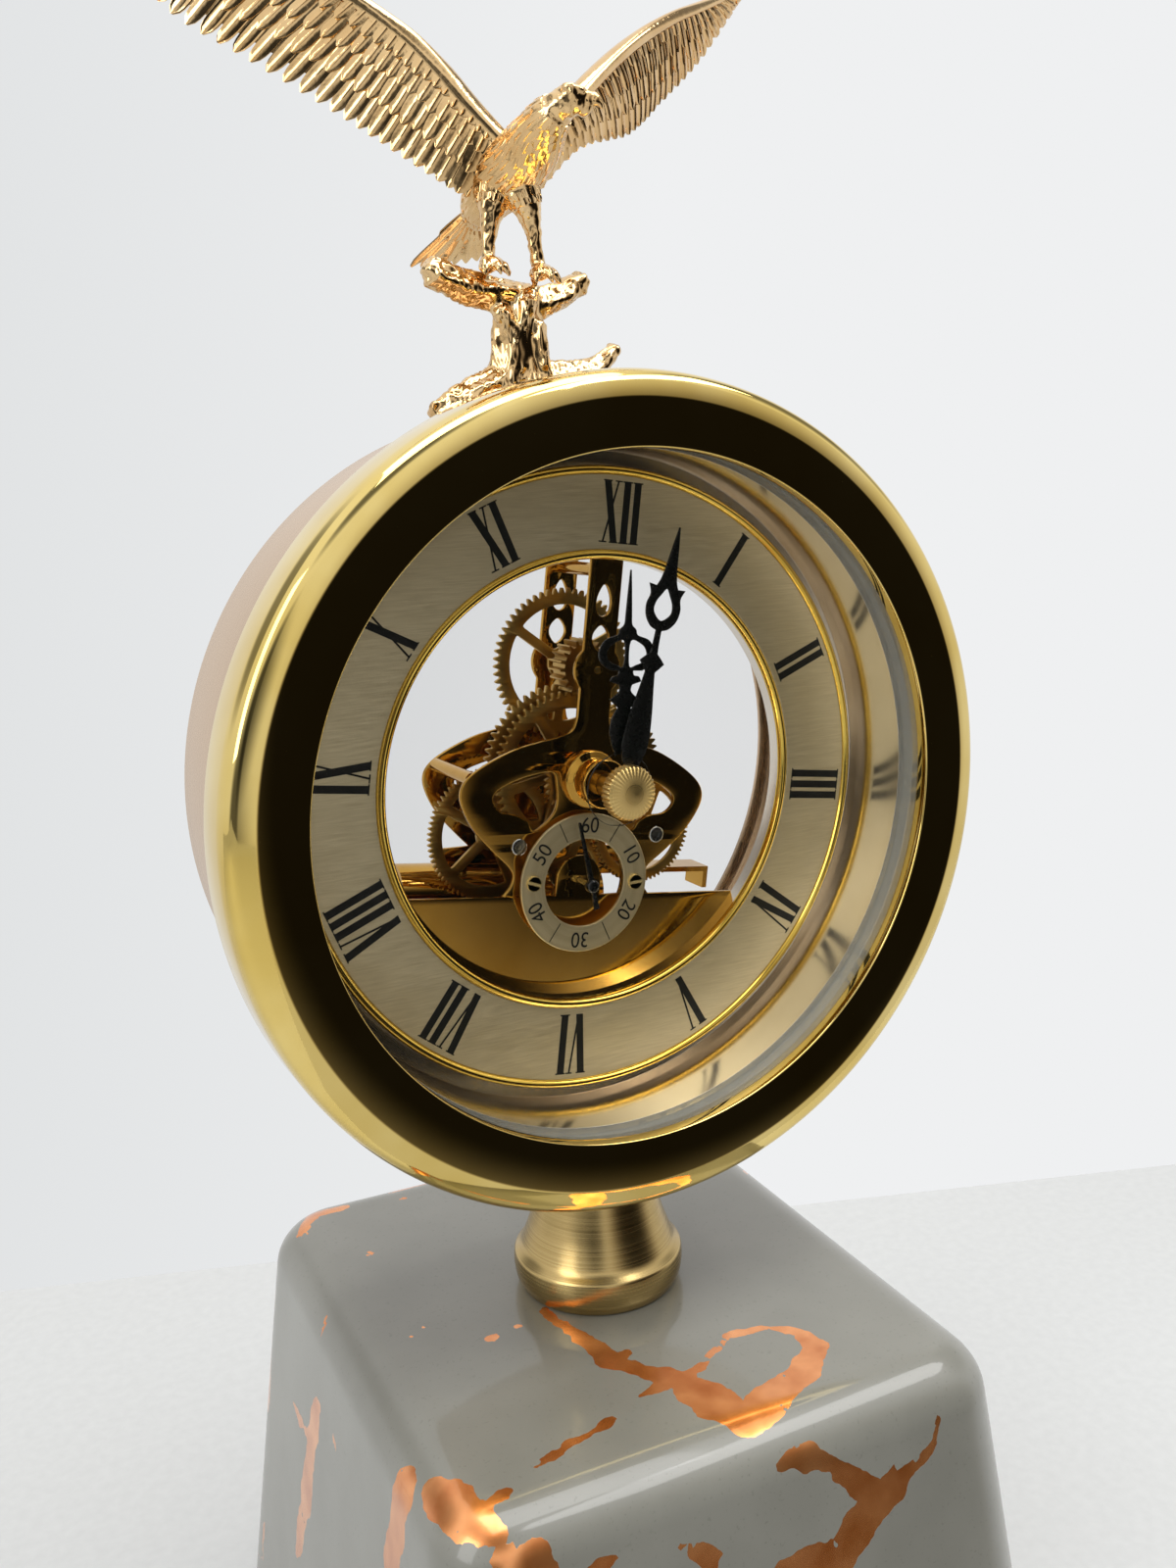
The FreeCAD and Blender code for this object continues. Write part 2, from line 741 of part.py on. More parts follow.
def plate_pillars():
    places = [(-pillar_x, pillar_y), (pillar_x, pillar_y), (0, top_pillar_y)]
    pillars = [disc(pillar_radius, plate_back, rear_plate_depth, x, z) for x, z in places]
    return Part.makeCompound(pillars)


keep_insert("plate_pillars", plate_pillars())

# Centre bush: turned collar in front of the plate, spigot through it
keep_insert("centre_bush", turned([
    (bush_bore, bush_front), (bush_radius, bush_front), (bush_radius, bush_front + bush_flange),
    (bush_neck, bush_front + bush_flange), (bush_neck, plate_depth - bush_foot),
    (bush_shoulder, plate_depth - bush_foot), (bush_shoulder, plate_depth), (bush_bore, plate_depth)]))


def arbor_bearings():
    """Silver bearing buttons on the front plate, one for each side arbor."""
    buttons = []
    for x, z in ((third_x, third_y), (drive_x, drive_y)):
        button = disc(bearing_radius, plate_depth - bearing_height, plate_depth, x, z)
        buttons.append(button.cut(disc(pivot_radius + run_gap, 0, plate_back, x, z)))
    return Part.makeCompound(buttons)


keep_insert("arbor_bearings", arbor_bearings())

# Seconds ring on two posts
second_ring_back = second_ring_depth + second_ring_thickness


def second_ring():
    ring = tube(second_ring_inner, second_ring_outer, second_ring_depth, second_ring_back, 0, second_y)
    for side in (-1, 1):
        ring = ring.cut(disc(ring_screw_shank + fit_gap, 0, plate_depth, side * ring_screw_x, second_y))
    return ring


ring_screw_shank = 0.9


def second_ring_posts():
    posts = []
    for side in (-1, 1):
        posts.append(disc(ring_post_radius, second_ring_back, plate_depth, side * ring_screw_x, second_y))
    return Part.makeCompound(posts)


def second_ring_screws():
    screws = []
    for side in (-1, 1):
        x = side * ring_screw_x
        head = disc(ring_screw_radius, second_ring_depth - ring_screw_head, second_ring_depth, x, second_y)
        shank = disc(ring_screw_shank, second_ring_depth, second_ring_back - fit_gap, x, second_y)
        screws.append(head.fuse(shank))
    return Part.makeCompound(screws)


keep_insert("second_ring", second_ring())
keep_insert("second_ring_posts", second_ring_posts())
keep_insert("second_ring_screws", second_ring_screws())

# Wheel train
keep_insert("third_wheel", spoked_wheel(third_wheel_teeth, second_third_module, third_wheel_depth,
                                        third_x, third_y, to_second, False, 5, arbor_radius + fit_gap))
keep_insert("great_wheel", spoked_wheel(great_wheel_teeth, third_great_module, great_wheel_depth,
                                        0, 0, centre_to_third, False, 5, centre_arbor_radius + fit_gap))
keep_insert("centre_wheel", spoked_wheel(centre_wheel_teeth, centre_upper_module, centre_wheel_depth,
                                         0, 0, up, False, 5, centre_arbor_radius + fit_gap))
keep_insert("upper_wheel", spoked_wheel(upper_wheel_teeth, upper_module, upper_wheel_depth,
                                        0, upper_y, up, False, 3, arbor_radius + fit_gap))
keep_insert("drive_wheel", spoked_wheel(drive_wheel_teeth, second_drive_module, drive_wheel_depth,
                                        drive_x, drive_y, drive_to_second, False, 4, arbor_radius + fit_gap))
keep_insert("second_wheel", spoked_wheel(second_wheel_teeth, second_drive_module, drive_wheel_depth,
                                         0, second_y, second_to_drive, True, 4, arbor_radius + fit_gap))


def arbor(x, z, front, back):
    """Plain arbor between the plates with a pivot at each end."""
    body = disc(arbor_radius, plate_back + end_shake, rear_plate_depth - end_shake, x, z)
    front_pivot = disc(pivot_radius, front, plate_back + end_shake, x, z)
    back_pivot = disc(pivot_radius, rear_plate_depth - end_shake, back, x, z)
    return body.fuse([front_pivot, back_pivot])


end_shake = 0.3
rear_plate_back = rear_plate_depth + plate_thickness


def third_arbor():
    leaves = toothed(third_pinion_teeth, third_great_module, great_wheel_depth - overrun,
                     third_wheel_depth - great_wheel_depth + overrun, third_x, third_y, third_to_centre, True)
    return arbor(third_x, third_y, plate_depth, rear_plate_back).fuse(leaves)


def upper_arbor():
    leaves = toothed(upper_pinion_teeth, centre_upper_module, upper_pinion_front,
                     upper_pinion_back - upper_pinion_front, 0, upper_y, down, True)
    return arbor(0, upper_y, plate_depth, rear_plate_back).fuse(leaves)


def drive_arbor():
    return arbor(drive_x, drive_y, plate_depth, rear_plate_back)


def second_arbor():
    leaves = toothed(second_pinion_teeth, second_third_module, third_wheel_depth - overrun,
                     wheel_thickness + 2 * overrun, 0, second_y, to_third, True)
    return arbor(0, second_y, second_hand_depth, rear_plate_back).fuse(leaves)


keep_insert("third_arbor", third_arbor())
keep_insert("upper_arbor", upper_arbor())
keep_insert("drive_arbor", drive_arbor())
keep_insert("second_arbor", second_arbor())

# Motion work: cannon pinion on the minute arbor, minute wheel on its post, hour wheel and pipe
cannon_length = 1.8


def minute_arbor():
    shaft = disc(centre_arbor_radius, nut_back_depth - nut_thread, knob_depth + knob_height / 2)
    leaves = toothed(cannon_teeth, cannon_module, minute_wheel_depth - cannon_length / 6, cannon_length,
                     0, 0, centre_to_post, True)
    return shaft.fuse(leaves)


nut_thread = 2.4


def minute_wheel():
    wheel = toothed(minute_wheel_teeth, cannon_module, minute_wheel_depth, wheel_thickness,
                    minute_post_x, minute_post_y, post_to_centre, False)
    leaves = toothed(minute_pinion_teeth, hour_module, hour_wheel_depth, minute_wheel_depth - hour_wheel_depth,
                     minute_post_x, minute_post_y, post_to_centre, True)
    hole = disc(arbor_radius + run_gap, 0, rear_plate_depth, minute_post_x, minute_post_y)
    return wheel.fuse(leaves).cut(hole)


def minute_post():
    """Stud riveted in the front plate, with a head that keeps the minute wheel on."""
    rivet = disc(pivot_radius - fit_gap, plate_depth, plate_back, minute_post_x, minute_post_y)
    stem_end = minute_wheel_depth + wheel_thickness + end_shake
    stem = disc(arbor_radius, plate_back, stem_end, minute_post_x, minute_post_y)
    head = disc(arbor_radius + pivot_radius, stem_end, stem_end + pivot_radius, minute_post_x, minute_post_y)
    return rivet.fuse([stem, head])


def hour_wheel():
    wheel = toothed(hour_wheel_teeth, hour_module, hour_wheel_depth, wheel_thickness, 0, 0, centre_to_post, False)
    pipe = disc(pipe_radius, hour_hand_depth - end_shake, hour_wheel_depth)
    bore = disc(centre_arbor_radius + run_gap, 0, rear_plate_depth)
    return wheel.fuse(pipe).cut(bore)


keep_insert("minute_arbor", minute_arbor())
keep_insert("minute_wheel", minute_wheel())
keep_insert("minute_post", minute_post())
keep_insert("hour_wheel", hour_wheel())

# Hands, drawn pointing up, then turned to the time shown
# Half outlines as shares of the hand's length: distance from the axis line, distance along it
hour_spade_shares = [(0.035, 0.08), (0.052, 0.22), (0.030, 0.30), (0.055, 0.335), (0.028, 0.37),
                     (0.036, 0.46), (0.095, 0.50), (0.118, 0.575), (0.075, 0.64), (0.022, 0.675),
                     (0.030, 0.715), (0.016, 0.75), (0.006, 1.0)]
hour_loop_centre_share = 0.565
hour_loop_share = 0.060
minute_leaf_shares = [(0.022, 0.06), (0.058, 0.14), (0.045, 0.30), (0.022, 0.44), (0.052, 0.485),
                      (0.016, 0.53), (0.014, 0.63), (0.052, 0.67), (0.060, 0.73), (0.068, 0.775),
                      (0.030, 0.80), (0.005, 1.0)]
minute_loop_centre_share = 0.70
minute_loop_share = 0.038


def hand(length, half_shares, loop_centre, loop_radius, depth, hub_radius, bore, angle):
    right = [(length * a, length * b) for a, b in half_shares]
    left = [(-x, z) for x, z in reversed(right)]
    blade = sheet(right + left, depth, hand_thickness)
    hub = disc(hub_radius, depth, depth + hand_thickness)
    plate = blade.fuse(hub)
    plate = plate.cut(disc(length * loop_radius, depth - overrun, depth + hand_thickness + overrun,
                           0, length * loop_centre))
    plate = plate.cut(disc(bore, depth - overrun, depth + hand_thickness + overrun))
    plate.rotate(V(0, 0, 0), V(0, 1, 0), angle)
    return plate


keep_insert("hour_hand", hand(hour_hand_length, hour_spade_shares, hour_loop_centre_share, hour_loop_share,
                              hour_hand_depth, hour_hub_radius, pipe_radius + fit_gap, hour_hand_angle))
keep_insert("minute_hand", hand(minute_hand_length, minute_leaf_shares, minute_loop_centre_share,
                                minute_loop_share, minute_hand_depth, minute_hub_radius,
                                centre_arbor_radius + fit_gap, minute_hand_angle))
second_hub_radius = 1.7
second_tip_half = 0.35
second_tail_half = 0.75


def second_hand():
    y0 = second_hand_depth
    blade = sheet([(-second_tail_half, -second_tail_length), (second_tail_half, -second_tail_length),
                   (second_tip_half, second_hand_length), (-second_tip_half, second_hand_length)],
                  y0, hand_thickness)
    hub = disc(second_hub_radius, y0 - hand_thickness, y0 + 2 * hand_thickness)
    piece = blade.fuse(hub).cut(disc(pivot_radius + fit_gap, y0, plate_depth))
    piece.rotate(V(0, 0, 0), V(0, 1, 0), second_hand_angle)
    piece.translate(V(0, 0, second_y))
    return piece


keep_insert("second_hand", second_hand())


def fluted(radius, depth, count, y0, y1):
    """Straight-knurled bar with V flutes."""
    corners = []
    for flute in range(count):
        angle = 2 * math.pi * flute / count
        corners.append(polar_point(radius - depth, angle))
        corners.append(polar_point(radius, angle + math.pi * knurl_crest_share / count))
        corners.append(polar_point(radius, angle + math.pi * (2 - knurl_crest_share) / count))
    return sheet(corners, y0, y1 - y0)


knurl_crest_share = 0.7


def hand_nut():
    """Knurled nut with a coned face."""
    body = fluted(nut_radius, knurl_depth, knurl_count, nut_face_depth, nut_back_depth)
    cone = turned([(0, nut_face_depth), (nut_radius, nut_face_depth + nut_cone), (nut_radius, nut_back_depth),
                   (0, nut_back_depth)])
    return body.common(cone).cut(disc(centre_arbor_radius + fit_gap, nut_back_depth - nut_thread - fit_gap,
                                      nut_back_depth + overrun))


keep_insert("hand_nut", hand_nut())


def setting_knob():
    knob = fluted(knob_radius, knob_flute_depth, knob_flutes, knob_depth, knob_depth + knob_height)
    collar = disc(hub_radius, rear_plate_back + end_shake, knob_depth)
    return knob.fuse(collar).cut(disc(centre_arbor_radius + fit_gap, 0, knob_depth + knob_height / 2))


knob_flutes = 16
knob_flute_depth = 0.7
keep_insert("setting_knob", setting_knob())

# Battery tube under the rear plate's foot, closed by an end cap with a bracket, and the quartz drive
tube_end = battery_length / 2 + contact_gap
tube_bore = battery_radius + battery_slack


def along_x(radius, x0, x1):
    return Part.makeCylinder(radius, x1 - x0, V(battery_x + x0, battery_depth, battery_y), V(1, 0, 0))


def battery_housing():
    """Tube closed at the left end, on a foot that stands on the front plate."""
    shell = along_x(housing_radius, -tube_end - housing_end, tube_end)
    foot = box(housing_foot_left, housing_foot_right, plate_back, battery_depth,
               housing_foot_level - bracket_thickness / 2, housing_foot_level + bracket_thickness / 2)
    return shell.fuse(foot).cut(along_x(tube_bore, -tube_end, tube_end + overrun))


def battery():
    body = along_x(battery_radius, -battery_length / 2, battery_length / 2 - contact_gap)
    return body.fuse(along_x(nipple_radius, battery_length / 2 - contact_gap, battery_length / 2))


def battery_contacts():
    """Leaf at the closed end, disc at the capped end."""
    leaf = along_x(spring_radius, -tube_end, -battery_length / 2)
    stud = along_x(spring_radius, battery_length / 2, tube_end)
    return Part.makeCompound([leaf, stud])


def battery_cap():
    """End cap with the long bracket tab that shows beside the right lobe."""
    cap = along_x(housing_radius, tube_end, tube_end + housing_end)
    start = battery_x + tube_end
    top = battery_y + housing_radius
    tab = box(start, start + bracket_width, battery_depth - bracket_depth, battery_depth,
              top - bracket_thickness, top)
    end = box(start + bracket_width - bracket_thickness, start + bracket_width,
              battery_depth - bracket_depth, battery_depth, top - bracket_end_height, top)
    return cap.fuse([tab, end])


bracket_end_height = 6.0
keep_insert("battery_housing", battery_housing())
keep_insert("battery", battery())
keep_insert("battery_contacts", battery_contacts())
keep_insert("battery_cap", battery_cap())


def drive_module():
    """Closed case of the stepping motor, on the back of the front plate."""
    case = box(-module_half_width, module_half_width, plate_back, plate_back + module_depth,
               module_top - module_height, module_top)
    uprights = [e for e in case.Edges if e.BoundBox.YLength > module_depth / 2]
    return case.makeFillet(module_corner, uprights)


board_back = plate_back + board_thickness


def drive_coil():
    """Winding between two cheeks, laid across the circuit board."""
    x0 = -coil_length / 2
    y = board_back + coil_radius + cheek_wall
    winding = Part.makeCylinder(coil_radius, coil_length, V(x0, y, coil_level), V(1, 0, 0))
    for x in (x0 - cheek_wall, x0 + coil_length):
        cheek = box(x, x + cheek_wall, board_back, board_back + 2 * (coil_radius + cheek_wall),
                    coil_level - coil_radius - cheek_wall, coil_level + coil_radius + cheek_wall)
        winding = winding.fuse(cheek)
    return winding


cheek_wall = 0.8


def circuit_board():
    return box(-module_half_width, module_half_width, plate_back, board_back, board_bottom, board_top)


keep_insert("drive_module", drive_module())
keep_insert("drive_coil", drive_coil())
keep_insert("circuit_board", circuit_board())


# Stump and eagle, drawn in the case's frame with Y back and Z up
def from_perch(point):
    x, y, z = point[:3]
    return V(perch_x + x, perch_setback + y, stump_lift + z)


def limb(run, across):
    """Tapered faceted limb through a table's points, in flat triangles between rings."""
    rings = []
    last = len(run) - 1
    for i, point in enumerate(run):
        along = from_perch(run[min(i + 1, last)]) - from_perch(run[max(i - 1, 0)])
        side = along.cross(across)
        side.normalize()
        other = along.cross(side)
        other.normalize()
        ring = []
        for corner in range(limb_sides):
            a, b = polar_point(point[3], 2 * math.pi * corner / limb_sides)
            ring.append(from_perch(point) + side * a + other * b)
        rings.append(ring)
    faces = [Part.Face(Part.makePolygon(ring + ring[:1])) for ring in (rings[0], rings[-1])]
    for near, far in zip(rings, rings[1:]):
        for i in range(limb_sides):
            j = (i + 1) % limb_sides
            for corners in ((near[i], near[j], far[j]), (near[i], far[j], far[i])):
                faces.append(Part.Face(Part.makePolygon(corners + corners[:1])))
    return upright_solid(faces)


limb_sides = 8
over_x = V(1, 0, 0)
over_y = V(0, 1, 0)


def perch_stump():
    stump = limb(trunk_run, over_y)
    for run in (left_branch_run, right_branch_run, left_root_run, right_root_run):
        stump = stump.fuse(limb(run, over_y))
    stump = stump.cut(disc(drum_radius + fit_gap, -drum_depth, 2 * drum_depth))
    for side in (-1, 1):
        stump = stump.cut(perch_screw_shank(side, fit_gap))
    return stump


def perch_screws():
    screws = []
    for side in (-1, 1):
        x = perch_x + side * perch_screw_pitch / 2
        seat = V(x, perch_setback, screw_seat(x))
        head = Part.makeCylinder(2 * perch_screw_radius, perch_screw_radius, seat - V(0, 0, perch_screw_radius))
        screws.append(head.fuse(perch_screw_shank(side, 0)))
    return Part.makeCompound(screws)


def eagle_body():
    body = limb(torso_run, over_x)
    for run in (skull_run, beak_run, left_leg_run, right_leg_run):
        body = body.fuse(limb(run, over_x))
    return body


def wing(lead, trail):
    """Bowed wing: a ruled loft of six-sided sections between two edge tables."""
    wires = []
    last = len(lead) - 1
    for i, (front, back) in enumerate(zip(lead, trail)):
        a = from_perch(front)
        b = from_perch(back)
        along = from_perch(lead[min(i + 1, last)]) - from_perch(lead[max(i - 1, 0)])
        square = along.cross(b - a)
        square.normalize()
        if square.y > 0:
            square = square * -1
        half = wing_root_half + (wing_tip_half - wing_root_half) * i / last
        bow = wing_bow[0] if i == 0 else wing_bow[1] * (1 - i / last) + wing_bow[2] * i / last
        middle = (a + b) * wing_middle_share + a * (1 - 2 * wing_middle_share) + square * bow
        ring = [a + square * half, middle + square * half, b + square * wing_tip_half,
                b - square * wing_tip_half, middle - square * half, a - square * half]
        wires.append(Part.makePolygon(ring + ring[:1]))
    return Part.makeLoft(wires, True, True)


wing_middle_share = 0.4


def largest(shape):
    return max(shape.Solids, key=lambda s: s.Volume)


stump = perch_stump()
torso = eagle_body().cut(stump)
keep_case("eagle_left_wing", largest(wing(left_lead, left_trail).cut(torso)))
keep_case("eagle_right_wing", largest(wing(right_lead, right_trail).cut(torso)))
keep_case("eagle_tail", largest(wing(tail_front_edge, tail_back_edge).cut(torso).cut(stump)))
keep_case("eagle_body", largest(torso))
keep_case("perch_screws", perch_screws())
keep_case("perch_stump", stump)

os.makedirs("parts", exist_ok=True)
for name, shape in parts.items():
    shape.exportStep("parts/%s.step" % name)
    if not shape.Solids or not shape.isValid():
        print("check", name, shape.isValid(), len(shape.Solids))
print(len(parts), "nodes")
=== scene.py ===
import bpy
import bmesh
import json
import math
from mathutils import Matrix, Vector, noise

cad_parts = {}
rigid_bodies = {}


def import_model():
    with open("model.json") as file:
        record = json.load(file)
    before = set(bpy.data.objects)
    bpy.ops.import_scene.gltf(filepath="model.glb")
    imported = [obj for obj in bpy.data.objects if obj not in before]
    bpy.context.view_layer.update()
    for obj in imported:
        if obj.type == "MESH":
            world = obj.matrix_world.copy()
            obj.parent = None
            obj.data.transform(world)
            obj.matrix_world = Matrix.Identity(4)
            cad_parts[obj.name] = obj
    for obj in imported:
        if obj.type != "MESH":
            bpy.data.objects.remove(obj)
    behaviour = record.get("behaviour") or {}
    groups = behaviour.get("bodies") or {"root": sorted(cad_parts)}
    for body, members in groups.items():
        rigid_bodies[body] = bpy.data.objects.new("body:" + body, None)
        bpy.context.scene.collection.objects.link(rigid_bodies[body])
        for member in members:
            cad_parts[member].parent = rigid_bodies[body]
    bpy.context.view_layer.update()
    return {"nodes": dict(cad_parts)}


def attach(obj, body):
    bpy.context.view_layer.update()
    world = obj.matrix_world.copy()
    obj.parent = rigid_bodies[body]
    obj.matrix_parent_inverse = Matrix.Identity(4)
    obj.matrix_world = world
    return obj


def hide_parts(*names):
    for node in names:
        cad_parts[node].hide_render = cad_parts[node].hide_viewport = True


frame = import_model()
for spare in [o for o in bpy.data.objects if o.name in ("Cube", "Light", "Camera")]:
    bpy.data.objects.remove(spare)

# ---------------------------------------------------------------- places, in millimetres
MM = 0.001
AXIS_HEIGHT = 265.0
CASE_SETBACK = 36.3
BASE_HEIGHT = 130.0
DRUM_RADIUS = 92.5
BEZEL_RADIUS = 100.0
BEZEL_DEPTH = 18.0
PERCH_RISE = 126.0     # above the hands' axis
PERCH = (-8.0, 41.0 - CASE_SETBACK, AXIS_HEIGHT + PERCH_RISE)
# arbors in the dial's plane
SECOND_LEVEL = -26.0
THIRD, DRIVE, UPPER, SECOND = (-17.6, -17.5), (21.5, -14.5), (0.0, 27.4), (0.0, SECOND_LEVEL)
POST, CENTRE = (12.0, 5.5), (0.0, 0.0)


def case_place(a, b, d):
    """Right, up and depth behind the bezel face, to metres in the row frame."""
    return Vector((a * MM, (d - CASE_SETBACK) * MM, (AXIS_HEIGHT + b) * MM))


TURN = math.radians(8.0)


def insert_place(a, b, d):
    """The dial and its movement sit turned in the case."""
    return case_place(a * math.cos(TURN) + b * math.sin(TURN), b * math.cos(TURN) - a * math.sin(TURN), d)


def stand_place(x, y, z):
    return Vector((x * MM, y * MM, z * MM))


def perch_place(x, y, z):
    return stand_place(PERCH[0] + x, PERCH[1] + y, PERCH[2] + z)


# ---------------------------------------------------------------- materials
def colour(code):
    """sRGB hex to linear."""
    out = []
    for i in (1, 3, 5):
        c = int(code[i:i + 2], 16) / 255
        out.append(c / 12.92 if c <= 0.04045 else ((c + 0.055) / 1.055) ** 2.4)
    return (out[0], out[1], out[2], 1.0)


def plug(node, links):
    """Sockets of a node: a value, a socket, or a node, which stands for its first output in use."""
    for key, value in links.items():
        if isinstance(value, bpy.types.Node):
            value = next(socket for socket in value.outputs if socket.enabled)
        if isinstance(value, bpy.types.NodeSocket):
            node.id_data.links.new(value, node.inputs[key])
        else:
            node.inputs[key].default_value = value


def add(tree, kind, links=None, stops=(), **settings):
    """One shader node: settings by name, a ramp's (position, colour) stops, then its sockets."""
    node = tree.nodes.new("ShaderNode" + kind)
    for key, value in settings.items():
        setattr(node, key, value)
    for k, (position, shade) in enumerate(stops):
        node.color_ramp.elements[k].position = position
        node.color_ramp.elements[k].color = shade
    plug(node, links or {})
    return node


def finish_start(name, inputs):
    material = bpy.data.materials.new(name)
    material.use_nodes = True
    tree = material.node_tree
    shader = tree.nodes["Principled BSDF"]
    plug(shader, inputs)
    return material, tree, shader, add(tree, "TexCoord").outputs["Object"]


def grains(size):
    """Noise scale for a grain of this many millimetres, in metres of object space."""
    return 1000.0 / size


def polished_metal(name, code, dark, roughness, ripple=0.02, ripple_size=9.0, wear=0.06):
    """Buffed and lacquered metal: slow ripples in the reflection, faint cloudiness."""
    material, tree, shader, place = finish_start(name, {"Metallic": 1.0})
    cloud = add(tree, "TexNoise", {"Vector": place, "Scale": grains(26), "Detail": 3.0})
    haze = add(tree, "TexNoise", {"Vector": place, "Scale": grains(3), "Detail": 4.0})
    wave = add(tree, "TexNoise", {"Vector": place, "Scale": grains(ripple_size), "Detail": 1.0})
    rough = add(tree, "MapRange", {"Value": haze, "From Min": 0.3, "From Max": 0.7, "To Min": roughness,
                                   "To Max": roughness + wear})
    shade = add(tree, "ValToRGB", {"Fac": cloud}, ((0.3, colour(dark)), (0.7, colour(code))))
    relief = add(tree, "Bump", {"Height": wave, "Distance": ripple * MM})
    plug(shader, {"Base Color": shade, "Roughness": rough, "Normal": relief})
    return material


def brushed_metal(name, code, dark, roughness, stretch, size=0.5, depth=0.004, turned_about=None):
    """Satin metal: fine lines along one direction, or in rings about a turning axis."""
    material, tree, shader, place = finish_start(name, {"Metallic": 1.0})
    lines = add(tree, "Mapping", {"Vector": place, "Scale": stretch})
    if turned_about:
        centre, axis = turned_about
        moved = add(tree, "VectorMath", {0: place, 1: centre}, operation="SUBTRACT")
        parts = add(tree, "SeparateXYZ", {"Vector": moved}).outputs
        across = [parts[letter] for letter in "XYZ" if letter != axis]
        flat = add(tree, "CombineXYZ", {"X": across[0], "Y": across[1]})
        radius = add(tree, "VectorMath", {0: flat}, operation="LENGTH")
        lines = add(tree, "CombineXYZ", {"X": radius, "Y": parts[axis]})
    hair = add(tree, "TexNoise", {"Vector": lines, "Scale": grains(size), "Detail": 5.0, "Roughness": 0.7})
    rough = add(tree, "MapRange", {"Value": hair, "From Min": 0.3, "From Max": 0.7,
                                   "To Min": roughness - 0.04, "To Max": roughness + 0.06})
    shade = add(tree, "ValToRGB", {"Fac": hair}, ((0.25, colour(dark)), (0.75, colour(code))))
    relief = add(tree, "Bump", {"Height": hair, "Distance": depth * MM})
    plug(shader, {"Base Color": shade, "Roughness": rough, "Normal": relief})
    return material


def moulded(name, code, roughness, grain=1.2, depth=0.01, metallic=0.0, ior=1.46):
    """Moulded plastic, paint or felt: even colour with a fine texture."""
    material, tree, shader, place = finish_start(name, {"Metallic": metallic, "IOR": ior})
    speck = add(tree, "TexNoise", {"Vector": place, "Scale": grains(grain), "Detail": 4.0})
    base = colour(code)
    low = tuple(c * 0.82 for c in base[:3]) + (1.0,)
    rough = add(tree, "MapRange", {"Value": speck, "To Min": roughness - 0.05, "To Max": roughness + 0.05})
    shade = add(tree, "ValToRGB", {"Fac": speck}, ((0.3, low), (0.7, base)))
    relief = add(tree, "Bump", {"Height": speck, "Strength": 0.6, "Distance": depth * MM})
    plug(shader, {"Base Color": shade, "Roughness": rough, "Normal": relief})
    return material


def clear(name, code, alpha, roughness=0.02):
    """Clear sheet or tube: mostly seen through, with its own reflections."""
    material, tree, shader, place = finish_start(name,
                                                 {"Base Color": colour(code), "IOR": 1.5, "Alpha": alpha})
    film = add(tree, "TexNoise", {"Vector": place, "Scale": grains(12), "Detail": 2.0})
    plug(shader, {"Roughness": add(tree, "MapRange", {"Value": film, "To Min": roughness,
                                                      "To Max": roughness + 0.03})})
    return material


